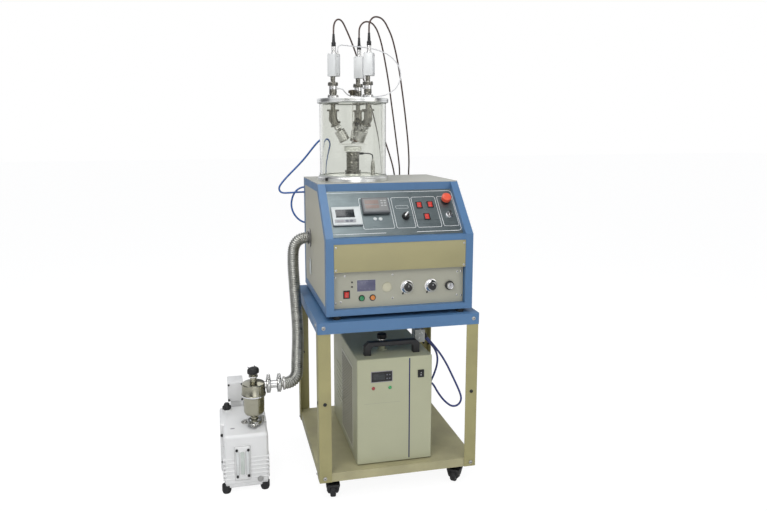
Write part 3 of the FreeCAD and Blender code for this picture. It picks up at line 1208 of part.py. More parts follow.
routes = {
    "cable_a": [
        (-176.2, 25.9, 1690), (-176.2, 25.9, 1705), (-174.9, 27.2, 1721.9), (-168.6, 33.5, 1737.5),
        (-157.2, 44.9, 1747.6), (-143.8, 58.3, 1748.9), (-130.9, 71.2, 1740.8), (-118.1, 84, 1722.1),
        (-91.1, 114.2, 1681.2), (-55.9, 159, 1620.3), (-26.3, 198.3, 1552.9), (4.5, 231.4, 1482.7),
        (37.9, 260.5, 1412), (72.2, 286.3, 1340.3), (105.4, 309.2, 1267.3), (135.3, 330, 1192.1),
        (147.5, 339.5, 1150), (152.6, 343, 1120), (153, 343.3, 1097.3), (153, 333.3, 1080),
        (153, 316, 1070), (153, 296, 1070),
    ],
    "cable_b": [
        (-60.9, 103.6, 1690), (-60.9, 103.6, 1707), (-59.7, 104.7, 1725.9), (-53, 110.6, 1745),
        (-39.8, 122.2, 1759.7), (-22.2, 137.8, 1764.7), (-4.5, 153.4, 1760.6), (10.7, 166.9, 1747.8),
        (24.2, 178.9, 1727.8), (47.6, 204.2, 1680), (74, 235.6, 1604.4), (96.7, 261.9, 1525.8),
        (115.2, 284.7, 1445), (132.4, 304, 1363), (149.1, 320.2, 1280.2), (164.8, 334.5, 1196.9),
        (171.4, 340.5, 1152), (173.8, 343, 1120), (174, 343.3, 1097.3), (174, 333.3, 1080),
        (174, 316, 1070), (174, 296, 1070),
    ],
    "cable_c": [
        (-52.2, -28.8, 1690), (-52.2, -28.8, 1707), (-51.1, -27.6, 1725.9), (-44.3, -20.4, 1744.5),
        (-31.3, -6.8, 1757.7), (-14.4, 11.1, 1762), (2.7, 29.1, 1759), (18.9, 46.2, 1748),
        (33.2, 61.3, 1729.2), (61, 93.6, 1694.7), (93.1, 137.6, 1632.5), (120, 179.6, 1566.4),
        (142.9, 217, 1496.2), (163.6, 251.8, 1424), (182.7, 281, 1348.8), (199.2, 307.2, 1272.1),
        (211.6, 329.9, 1193.4), (215.4, 339, 1151), (216.8, 343, 1120), (217, 343.3, 1097.3),
        (217, 333.3, 1080), (217, 316, 1070), (217, 296, 1070),
    ],
    "loop": [
        (-155.7, 31.8, 1490), (-142, 33.1, 1490), (-131, 44, 1477), (-112, 58, 1464.5), (-78, 64.5, 1460),
        (-32, 73, 1460.5), (12, 79.5, 1464), (53, 82, 1473), (88, 84.3, 1500), (106, 85.7, 1537),
        (98, 84.2, 1583), (63, 80.5, 1620), (13, 74, 1641), (-40, 65.5, 1649), (-88, 55, 1650.5),
        (-125, 42, 1652), (-149, 32.5, 1652), (-158, 29, 1646), (-161, 28, 1636), (-161, 28, 1628),
    ],
    "left_1": [
        (-196, 236, 1158), (-196, 236, 1178), (-191, 235, 1201), (-183, 233, 1226), (-175, 231, 1250),
        (-168, 229, 1270), (-169, 228, 1284), (-176, 227, 1294), (-187, 227, 1298), (-199, 230, 1294),
        (-211, 237, 1283), (-230, 257, 1257), (-258, 280, 1217), (-290, 294, 1181), (-320, 301, 1151),
        (-341, 303, 1129), (-355.5, 303.5, 1112), (-365, 304, 1098), (-366.5, 304, 1085.5),
        (-360.7, 304, 1075), (-348.9, 304, 1070), (-325, 303, 1070.6), (-291, 301, 1072.5),
        (-258, 302, 1073), (-228, 302, 1073),
    ],
    "left_2": [
        (-228, 302, 1096), (-257, 302, 1096), (-283, 308, 1088), (-302, 313.5, 1068), (-313, 314, 1040),
        (-315, 313, 1009), (-306, 310, 980), (-286, 305, 954), (-258, 302, 939), (-228, 302, 939),
    ],
    "right_1": [
        (151, -112, 539), (195, -112, 488), (234, -112, 431), (264, -112, 370), (291, -112, 313),
        (304, -112, 281), (307, -112, 262), (301, -112, 246), (288, -112, 236), (271, -112, 235),
        (254, -112, 244), (229, -112, 268), (205, -112, 303), (190, -112, 332), (174, -112, 348.5),
        (160, -112, 352), (144, -112, 352),
    ],
    "right_2": [
        (151, -88, 529), (179, -88, 500), (204, -88, 468), (213, -88, 436), (211, -88, 404),
        (200, -88, 370), (188, -88, 343), (176, -88, 325), (161, -88, 318), (144, -88, 318),
    ],
    "bellows": [
        (-271, 118, 905), (-294, 118, 905), (-316.5, 118.5, 892), (-330, 118, 869), (-334, 115, 836),
        (-335, 106, 783), (-332.5, 92, 715), (-330.5, 70, 645), (-329, 44, 575), (-332, 12, 512),
        (-339, -24, 467), (-344.2, -47.3, 433.4), (-345.9, -61.9, 409.6), (-353.5, -70.4, 395.7),
        (-366.2, -76.6, 385.5), (-382.5, -80, 380), (-400, -80, 380),
    ],
}


def route(points):
    """Straight runs joined by tangent arcs, with the radius of each arc."""
    corners = [Vector(*point) for point in points]
    edges, radii = [], []
    here = corners[0]
    for before, corner, after in zip(corners, corners[1:], corners[2:]):
        back = (before - corner).normalize()
        ahead = (after - corner).normalize()
        turn = math.pi - back.getAngle(ahead)
        trim = 0.45 * min((before - corner).Length, (after - corner).Length)
        radius = trim / math.tan(turn / 2)
        middle = corner + (back + ahead).normalize() * (radius / math.cos(turn / 2) - radius)
        enter = corner + back * trim
        leave = corner + ahead * trim
        edges.append(Part.LineSegment(here, enter).toShape())
        edges.append(Part.Arc(enter, middle, leave).toShape())
        here = leave
        radii.append(radius)
    edges.append(Part.LineSegment(here, corners[-1]).toShape())
    return Part.Wire(edges), radii


def tube(name, points, radius):
    """A round cord swept along its route."""
    path, radii = route(points)
    start = Vector(*points[0])
    heading = Vector(*points[1]) - start
    section = Part.Wire(Part.Circle(start, heading, number(radius)).toShape())
    shape = path.makePipeShell([section], True, False)
    expected = math.pi * number(radius) ** 2 * path.Length
    print(f"{name}: length {path.Length:.1f}, volume over section x length "
          f"{shape.Volume / expected:.4f}, least radius {min(radii):.0f}")
    thing = doc.addObject("Part::Feature", name)
    thing.Shape = shape
    return thing


# the wall elbows' heights, and the foot of the flow block under the table
elbow_heights = (1096, 1073, 939)
flow_block_at = (127, -100, 518)


def cord_fittings():
    """What the cords and tubes end in: glands, elbows, a deck union, a collar and a block."""
    gland = turned("coax_gland", [("0", "0"), ("gland_radius", "0"), ("gland_radius", "6"),
                                  ("gland_radius - 1.5", "7"), ("gland_radius - 1.5", "gland_length - 5"),
                                  ("gland_radius - 4", "gland_length"), ("0", "gland_length")])
    wall = f"{back_y} - panel_wall"
    pieces = copies("coax_gland", gland, [spot(x, wall, 1070, about_x(-90)) for x in (153, 174, 217)])

    riser = drum("elbow_riser", "barb + 2", "24", (0, 0, 0))
    nut = drum("elbow_nut", "barb + 5", "5", (0, 0, 0))
    knee = block("elbow_knee", ("2*barb + 4", "2*barb + 4", "2*barb + 4"), (0, 0, "24 - barb - 2"))
    outlet = drum("elbow_outlet", "barb", "16", (0, 0, 24), about_y(-90))
    elbow = joined("tube_elbow", [riser, nut, knee, outlet])
    pieces += copies("tube_elbow", elbow, [spot(-212, wall, z, about_x(-90)) for z in elbow_heights])

    union = turned("deck_union", [("0", "0"), ("barb + 4", "0"), ("barb + 4", "7"), ("barb", "8"),
                                  ("barb", "gland_length"), ("0", "gland_length")])
    union.Placement = spot(-196, 236, deck_z)
    collar = turned("hose_collar_ring", [("0", "-6"), ("hose_hole - seat_gap", "-6"),
                                         ("hose_hole - seat_gap", "0"), ("hose_hole + 7", "0"),
                                         ("hose_hole + 7", "3"), ("hose_radius + 2", "hose_collar"),
                                         ("0", "hose_collar")])
    collar.Placement = spot("cabinet_x - cabinet_width/2 + 1", "hose_y", "hose_z", about_y(-90))

    block_top = "cart_height - tray_wall"
    x, y, low = flow_block_at
    body = block("flow_body", ("38", "48", "48"), flow_block_at)
    strap = block("flow_strap", ("26", "4", f"{block_top} - {low + 42}"), (x, y, low + 42))
    pad_top = block("flow_pad", ("30", "40", "3"), (x, y, f"{block_top} - 3"))
    spouts = []
    for name in ("right_1", "right_2"):
        start, following = (Vector(*point) for point in routes[name][:2])
        along = (following - start).normalize()
        spouts.append(drum("flow_spout", "barb", "16", tuple(start - along * 16),
                           Rotation(Vector(0, 0, 1), along)))
    manifold = joined("flow_block", [body, strap, pad_top] + spouts)
    keep("cord_fittings", group("cord_fittings", pieces + [union, collar, manifold]))


def cord_tubes():
    keep_cords("rf_cables", ("cable_a", "cable_b", "cable_c"), "coax_radius")
    keep_cords("cooling_loop", ("loop",), "gas_radius")
    keep_cords("water_tubes_left", ("left_1", "left_2"), "water_radius")
    keep_cords("water_tubes_right", ("right_1", "right_2"), "water_radius")
    keep_cords("bellows_hose", ("bellows",), "hose_radius")


def keep_cords(node, names, radius):
    tubes = [tube(name, routes[name], radius) for name in names]
    keep(node, tubes[0] if len(tubes) == 1 else group(node, tubes))
    cords.append(node)


trolley()
casters()
cabinet_frame()
cabinet_panels()
cabinet_top()
rubber_feet()
control_panel()
rf_generator()
meters()
switch_bezels()
rockers()
push_buttons()
dials()
chamber()
stage()
shutter()
build_head_mounts()
heads()
connector_boxes()
chiller()
pump()
inlet_trap()
cord_fittings()
cord_tubes()
doc.recompute()

# Set the origin under the middle of everything but the cords

box = FreeCAD.BoundBox()
for name, thing in subparts.items():
    if name not in cords:
        box.add(thing.Shape.BoundBox)
shift = Vector(-(box.XMin + box.XMax) / 2, -(box.YMin + box.YMax) / 2, 0)
for thing in subparts.values():
    thing.Placement = Placement(shift, Rotation()) * thing.Placement
doc.recompute()

broken = [thing.Name for thing in doc.Objects if {"Invalid", "Error"} & set(thing.State)]
assert not broken, f"these objects failed: {broken}"
for name, thing in subparts.items():
    assert not thing.Shape.isNull() and thing.Shape.isValid(), f"{name} is not a valid shape"

os.makedirs("parts", exist_ok=True)
for name, thing in subparts.items():
    thing.Shape.exportStep(f"parts/{name}.step")
print(f"{len(subparts)} sub-parts, moved by {shift.x:.2f} and {shift.y:.2f}")
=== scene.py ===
import bmesh
import bpy
import json
import math
from mathutils import Matrix, Vector

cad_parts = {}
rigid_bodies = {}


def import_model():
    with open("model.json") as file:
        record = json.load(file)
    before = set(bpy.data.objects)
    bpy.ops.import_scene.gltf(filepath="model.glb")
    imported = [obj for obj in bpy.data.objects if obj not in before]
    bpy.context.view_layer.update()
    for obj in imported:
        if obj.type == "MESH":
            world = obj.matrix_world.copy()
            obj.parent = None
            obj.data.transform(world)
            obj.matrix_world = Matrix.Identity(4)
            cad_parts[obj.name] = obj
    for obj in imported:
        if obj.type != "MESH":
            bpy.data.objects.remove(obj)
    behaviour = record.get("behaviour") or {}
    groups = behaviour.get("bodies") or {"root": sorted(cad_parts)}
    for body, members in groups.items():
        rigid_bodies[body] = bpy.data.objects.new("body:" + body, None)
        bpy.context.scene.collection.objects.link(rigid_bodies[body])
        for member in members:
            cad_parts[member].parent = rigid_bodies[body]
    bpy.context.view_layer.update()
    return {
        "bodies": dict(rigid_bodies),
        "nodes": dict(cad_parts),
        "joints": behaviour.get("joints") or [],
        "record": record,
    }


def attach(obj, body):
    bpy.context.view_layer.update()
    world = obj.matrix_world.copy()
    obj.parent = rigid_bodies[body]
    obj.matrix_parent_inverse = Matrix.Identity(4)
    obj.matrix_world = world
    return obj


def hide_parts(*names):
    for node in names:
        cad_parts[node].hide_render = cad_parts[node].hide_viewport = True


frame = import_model()
nodes = frame["nodes"]

mm = 0.001
turn = math.radians


def spot(x, y, z):  # millimetres from the middle of the trolley, as the drawing gives them
    return Vector(((x + 171.25) * mm, (y - 9.5) * mm, z * mm))


def stand(x, y, z):
    return Matrix.Translation(spot(x, y, z))


def spin(angle, axis="Z"):
    return Matrix.Rotation(turn(angle), 4, axis)


# Camera and studio

view = {"place": (-621.26, -2439.93, 1329.25), "yaw": 12.266, "pitch": -8.205, "roll": -0.225,
        "lens": 30.35, "shiftX": 0.0333, "shiftY": -0.0406}


def setCamera():
    data = bpy.data.cameras.new("camera")
    data.sensor_width = 36
    data.lens = view["lens"]
    data.shift_x = view["shiftX"]
    data.shift_y = view["shiftY"]
    data.clip_start = 0.05
    camera = bpy.data.objects.new("camera", data)
    bpy.context.scene.collection.objects.link(camera)
    heading = spin(-view["yaw"])
    tilt = spin(90 + view["pitch"], "X")
    roll = spin(view["roll"])
    camera.matrix_world = stand(*view["place"]) @ heading @ tilt @ roll
    bpy.context.scene.camera = camera


def newMaterial(name):
    material = bpy.data.materials.new(name)
    material.use_nodes = True
    material.node_tree.nodes.clear()
    return material, material.node_tree


def fed(tree, node, inputs):  # each input is given its value, or joined to the socket that it gets
    for name, value in inputs.items():
        if isinstance(value, bpy.types.NodeSocket):
            tree.links.new(value, node.inputs[name])
        else:
            node.inputs[name].default_value = value
    return node


def wired(tree, kind, inputs, **settings):
    node = tree.nodes.new(kind)
    for name, value in settings.items():
        setattr(node, name, value)
    return fed(tree, node, inputs)


def seenDirectly(tree):  # by the camera, or through the glass
    rays = tree.nodes.new("ShaderNodeLightPath").outputs
    seen = wired(tree, "ShaderNodeMath", {0: rays["Is Camera Ray"], 1: rays["Is Transmission Ray"]},
                 operation="MAXIMUM")
    return seen.outputs[0]


def setWorld():  # white where the camera sees it, bright and dark bands where turned metal mirrors it
    world = bpy.data.worlds.new("studio")
    bpy.context.scene.world = world
    world.use_nodes = True
    tree = world.node_tree
    tree.nodes.clear()
    where = tree.nodes.new("ShaderNodeTexCoord")
    way = wired(tree, "ShaderNodeSeparateXYZ", {0: where.outputs["Generated"]}).outputs
    angle = wired(tree, "ShaderNodeMath", {0: way["Y"], 1: way["X"]}, operation="ARCTAN2")
    cycles = wired(tree, "ShaderNodeMath", {0: angle.outputs[0], 1: 4.0}, operation="MULTIPLY")
    wave = wired(tree, "ShaderNodeMath", {0: cycles.outputs[0]}, operation="SINE")
    levels = {"From Min": -0.35, "From Max": 0.45, "To Min": 0.14, "To Max": 0.95}
    bands = wired(tree, "ShaderNodeMapRange", {"Value": wave.outputs[0], **levels})
    soft = wired(tree, "ShaderNodeBackground", {"Color": (0.93, 0.95, 1.0, 1),
                                                "Strength": bands.outputs["Result"]})
    white = wired(tree, "ShaderNodeBackground", {"Color": (1, 1, 1, 1), "Strength": 1.0})
    mixed = wired(tree, "ShaderNodeMixShader", {"Fac": seenDirectly(tree), 1: soft.outputs[0],
                                                2: white.outputs[0]})
    wired(tree, "ShaderNodeOutputWorld", {"Surface": mixed.outputs[0]})


def setStudio():
    # place, aim, size and power of each lamp
    lamps = {"key": ((-1700, -2400, 2700), (0, -100, 900), 1500, 38),
             "top": ((-620, -600, 4500), (-620, -590, 0), 2400, 60),
             "fill": ((1900, -1900, 1900), (0, 0, 800), 1800, 16),
             "back": ((600, 2200, 2600), (0, 100, 900), 1600, 12),
             "front": ((-300, -2900, 900), (0, 0, 500), 1600, 9)}
    for name, (place, aim, size, power) in lamps.items():
        data = bpy.data.lights.new(name, "AREA")
        data.size = size * mm
        data.energy = power
        lamp = bpy.data.objects.new(name, data)
        bpy.context.scene.collection.objects.link(lamp)
        lamp.location = spot(*place)
        lamp.rotation_euler = (spot(*aim) - spot(*place)).to_track_quat("-Z", "Y").to_euler()

    bpy.ops.mesh.primitive_plane_add(size=60, location=(0, 0, -0.0005))
    floor = bpy.context.object
    floor.name = "floor"
    material, tree = newMaterial("paleFloor")
    matt = wired(tree, "ShaderNodeBsdfDiffuse", {"Color": (0.78, 0.78, 0.78, 1)})
    glow = wired(tree, "ShaderNodeEmission", {"Strength": 1.1})
    share = wired(tree, "ShaderNodeMath", {0: seenDirectly(tree), 1: 0.84}, operation="MULTIPLY")
    mixed = wired(tree, "ShaderNodeMixShader", {"Fac": share.outputs[0], 1: matt.outputs[0],
                                                2: glow.outputs[0]})
    wired(tree, "ShaderNodeOutputMaterial", {"Surface": mixed.outputs[0]})
    floor.data.materials.append(material)
    bpy.context.scene.view_settings.view_transform = "Standard"


setCamera()
setWorld()
setStudio()
print("camera and studio set")


# Finishes. Each one varies in colour and gloss over the surface, and carries its own fine relief

def placeOn(tree, scale=(1, 1, 1), middle=(0, 0, 0)):
    where = tree.nodes.new("ShaderNodeTexCoord").outputs["Object"]
    move = wired(tree, "ShaderNodeMapping", {"Scale": scale, "Location": middle, "Vector": where})
    return move.outputs["Vector"]


def speckle(tree, vector, scale, detail=3, rough=0.55):
    noise = wired(tree, "ShaderNodeTexNoise", {"Scale": scale, "Detail": detail, "Roughness": rough,
                                               "Vector": vector})
    return noise.outputs["Fac"]


def between(tree, fac, low, high, lowAt=0.3, highAt=0.7):
    spread = wired(tree, "ShaderNodeMapRange", {"From Min": lowAt, "From Max": highAt, "To Min": low,
                                                "To Max": high, "Value": fac})
    return spread.outputs["Result"]


def blended(tree, fac, *colours):
    first, second = (value if isinstance(value, bpy.types.NodeSocket) else (*value, 1) for value in colours)
    mix = wired(tree, "ShaderNodeMix", {"Factor": fac, 6: first, 7: second}, data_type="RGBA")
    return mix.outputs[2]


def relief(tree, height, strength, distance):
    bump = wired(tree, "ShaderNodeBump", {"Strength": strength, "Distance": distance, "Height": height})
    return bump.outputs["Normal"]


def shaded(name):
    material, tree = newMaterial(name)
    shader = tree.nodes.new("ShaderNodeBsdfPrincipled")
    wired(tree, "ShaderNodeOutputMaterial", {"Surface": shader.outputs[0]})
    return material, tree, shader


def darker(colour, share):
    return tuple(value * share for value in colour)


def paint(name, colour, gloss=0.42, grime=0.9, peel=0.05):  # sprayed enamel: orange peel, faint grime
    material, tree, shader = shaded(name)
    spots = placeOn(tree)
    cloud = speckle(tree, spots, 9, 5)
    tint = blended(tree, between(tree, cloud, 0, 1, 0.35, 0.7), darker(colour, grime), colour)
    fine = speckle(tree, spots, 420, 2)
    tint = blended(tree, between(tree, fine, 0, 0.25, 0.45, 0.75), tint, darker(colour, 0.82))
    fed(tree, shader, {"Base Color": tint, "Roughness": between(tree, cloud, gloss - 0.06, gloss + 0.1),
                       "Normal": relief(tree, speckle(tree, spots, 650, 2), peel, 0.0004),
                       "Coat Weight": 0.12, "Coat Roughness": 0.25})
    return material


def plastic(name, colour, gloss=0.4, grain=0.08, clear=0.0):
    material, tree, shader = shaded(name)
    spots = placeOn(tree)
    cloud = speckle(tree, spots, 35, 4)
    tint = blended(tree, between(tree, cloud, 0, 1), darker(colour, 0.86), colour)
    fed(tree, shader, {"Base Color": tint, "Roughness": between(tree, cloud, gloss - 0.05, gloss + 0.08),
                       "Normal": relief(tree, speckle(tree, spots, 1100, 2), grain, 0.0003)})
    if clear:
        fed(tree, shader, {"Coat Weight": clear, "Coat Roughness": 0.08})
    return material


def steel(name, colour=(0.62, 0.61, 0.58), gloss=0.28, lines=(40, 40, 900), marks=0.35):
    # drawn or turned metal: fine lines along the short way of the pattern, with dull patches
    material, tree, shader = shaded(name)
    drawn = speckle(tree, placeOn(tree, lines), 1, 4, 0.6)
    cloud = speckle(tree, placeOn(tree), 22, 5)
    tint = blended(tree, between(tree, cloud, 0, 1), darker(colour, 0.8), colour)
    tint = blended(tree, between(tree, drawn, 0, marks), tint, darker(colour, 0.72))
    fed(tree, shader, {"Base Color": tint, "Metallic": 1.0, "Normal": relief(tree, drawn, 0.14, 0.0003),
                       "Roughness": between(tree, drawn, gloss - 0.07, gloss + 0.12)})
    return material


def turnedSteel(name, middle, colour=(0.64, 0.63, 0.6), gloss=0.24, rings=700):
    # lathe rings about an upright axis through a place
    material, tree, shader = shaded(name)
    spots = placeOn(tree, middle=tuple(-value for value in middle))
    split = wired(tree, "ShaderNodeSeparateXYZ", {0: spots}).outputs
    flat = wired(tree, "ShaderNodeCombineXYZ", {"X": split["X"], "Y": split["Y"]})
    away = wired(tree, "ShaderNodeVectorMath", {0: flat.outputs[0]}, operation="LENGTH")
    track = wired(tree, "ShaderNodeCombineXYZ", {"X": away.outputs["Value"], "Z": split["Z"]})
    rings = speckle(tree, track.outputs[0], rings, 3, 0.6)
    cloud = speckle(tree, placeOn(tree), 30, 4)
    tint = blended(tree, between(tree, rings, 0, 0.4), colour, darker(colour, 0.7))
    tint = blended(tree, between(tree, cloud, 0, 0.5), tint, darker(colour, 0.84))
    fed(tree, shader, {"Base Color": tint, "Metallic": 1.0, "Normal": relief(tree, rings, 0.12, 0.0003),
                       "Roughness": between(tree, rings, gloss - 0.07, gloss + 0.1)})
    return material


chamberMiddle, trapMiddle = (-102, 37), (-514, -80)
chamberAxis, trapAxis = spot(*chamberMiddle, 0), spot(*trapMiddle, 0)

paints = {  # colour, gloss, grime and peel
    "blue": ((0.07, 0.165, 0.315), 0.42),
    "khaki": ((0.325, 0.295, 0.13), 0.5, 0.85),
    "shelf": ((0.4, 0.37, 0.21), 0.55, 0.78),
    "filler": ((0.32, 0.29, 0.145), 0.5, 0.93),
    "cabinet": ((0.43, 0.415, 0.325), 0.5, 0.93),
    "deck": ((0.42, 0.42, 0.37), 0.42, 0.9),
    "rack": ((0.35, 0.345, 0.275), 0.45, 0.95, 0.09),
    "chiller": ((0.39, 0.395, 0.265), 0.45, 0.95, 0.1),
    "pump": ((0.72, 0.72, 0.71), 0.35, 0.94),
    "box": ((0.68, 0.69, 0.68), 0.3, 0.95),
    # boxShade: the box paint made darker for the covers' sides, painted shade
    "boxShade": ((0.5, 0.5, 0.49), 0.35, 0.9),
    "crease": ((0.33, 0.33, 0.25), 0.5),
    "chillerPale": ((0.5, 0.5, 0.4), 0.45, 0.95),
    "chillerSlat": ((0.36, 0.345, 0.26), 0.5, 0.9),
}
metals = {  # colour, gloss, lines and marks
    "darkPanel": ((0.185, 0.22, 0.225), 0.33, (14, 620, 620), 0.6),
    "steel": (),
    "bright": ((0.74, 0.73, 0.71), 0.2, (60, 60, 300), 0.2),
    "zinc": ((0.5, 0.49, 0.46), 0.38, (200, 200, 200), 0.3),
    "chrome": ((0.82, 0.82, 0.82), 0.13, (20, 20, 60), 0.12),
    "bronze": ((0.1, 0.088, 0.065), 0.36, (200, 200, 200), 0.2),
    "copper": ((0.6, 0.36, 0.22), 0.3, (200, 200, 200), 0.2),
    "clamp": ((0.5, 0.5, 0.48), 0.15, (40, 40, 120), 0.15),
}
turnings = {  # axis, colour, gloss and rings
    "lid": (chamberAxis, (0.9, 0.9, 0.86), 0.24),
    "trap": (trapAxis, (0.42, 0.405, 0.32), 0.19, 900),
    "dark": (chamberAxis, (0.23, 0.22, 0.19), 0.2),
    "column": (chamberAxis, (0.17, 0.165, 0.145), 0.26),
}
plastics = {  # colour, gloss, grain and clear coat
    "black": ((0.009, 0.009, 0.0095), 0.46),
    "matt": ((0.014, 0.014, 0.015), 0.62, 0.2),
    "rubber": ((0.012, 0.012, 0.0125), 0.7, 0.25),
    "grey": ((0.14, 0.145, 0.15), 0.45),
    "pale": ((0.6, 0.63, 0.62), 0.45),
    "cream": ((0.47, 0.45, 0.33), 0.4),
    "red": ((0.58, 0.025, 0.015), 0.3, 0.03, 0.4),
    "stopRed": ((0.72, 0.085, 0.035), 0.42, 0.04, 0.2),
    "green": ((0.01, 0.2, 0.07), 0.25, 0.02, 0.5),
    "orange": ((0.62, 0.2, 0.03), 0.25, 0.02, 0.5),
    "navy": ((0.01, 0.014, 0.08), 0.4),
    "ink": ((0.8, 0.82, 0.82), 0.5, 0.02),
    "seal": ((0.44, 0.46, 0.42), 0.5, 0.1),
    "coax": ((0.055, 0.024, 0.015), 0.38, 0.05, 0.25),
    "gas": ((0.68, 0.68, 0.69), 0.3, 0.03, 0.4),
    "waterBlue": ((0.02, 0.105, 0.36), 0.3, 0.03, 0.5),
    "waterNavy": ((0.012, 0.03, 0.2), 0.3, 0.03, 0.5),
    "screen": ((0.014, 0.018, 0.02), 0.22, 0.01, 0.3),
    "violet": ((0.085, 0.085, 0.15), 0.25, 0.01, 0.6),
    "tablePale": ((0.93, 0.93, 0.88), 0.5, 0.1),
    "keyGrey": ((0.36, 0.37, 0.38), 0.5),
    "keyMid": ((0.3, 0.29, 0.3), 0.5),
    "keyDark": ((0.16, 0.17, 0.2), 0.5),
    "keyPale": ((0.42, 0.43, 0.42), 0.5),
    "faceGrey": ((0.22, 0.225, 0.22), 0.42),
    "dullRed": ((0.25, 0.19, 0.165), 0.35),
    "stopShade": ((0.5, 0.05, 0.025), 0.45),
    "lampRed": ((0.3, 0.03, 0.03), 0.3, 0.02, 0.5),
    "lampGreen": ((0.02, 0.3, 0.08), 0.3, 0.02, 0.5),
    "glassPale": ((0.64, 0.66, 0.65), 0.3, 0.02, 0.4),
    "sightGrey": ((0.5, 0.54, 0.5), 0.2, 0.02, 0.6),
    "drainGrey": ((0.32, 0.32, 0.31), 0.5),
    "castor": ((0.007, 0.007, 0.007), 0.5),
}
finishes = {}
for make, table in ((paint, paints), (steel, metals), (turnedSteel, turnings), (plastic, plastics)):
    for name, values in table.items():
        finishes[name] = make(name, *values)


def quartz():
    material, tree, shader = shaded("quartzGlass")
    streaks = speckle(tree, placeOn(tree, (60, 60, 1.4)), 1, 3)
    fed(tree, shader, {"Base Color": (0.8, 0.81, 0.775, 1), "Transmission Weight": 1.0, "IOR": 1.28,
                       "Roughness": between(tree, streaks, 0.02, 0.09, 0.35, 0.75),
                       "Normal": relief(tree, streaks, 0.03, 0.0006)})
    return material


def flowResin():
    material, tree, shader = shaded("clearResin")
    cloud = speckle(tree, placeOn(tree), 60, 3)
    tint = blended(tree, between(tree, cloud, 0, 1), (0.62, 0.64, 0.6), (0.75, 0.77, 0.73))
    fed(tree, shader, {"Base Color": tint, "Transmission Weight": 0.45,
                       "Roughness": between(tree, cloud, 0.18, 0.32)})
    return material


finishes["quartz"] = quartz()
finishes["resin"] = flowResin()
print(len(finishes), "finishes made")


# Cords, on the points that the drawing's routes give

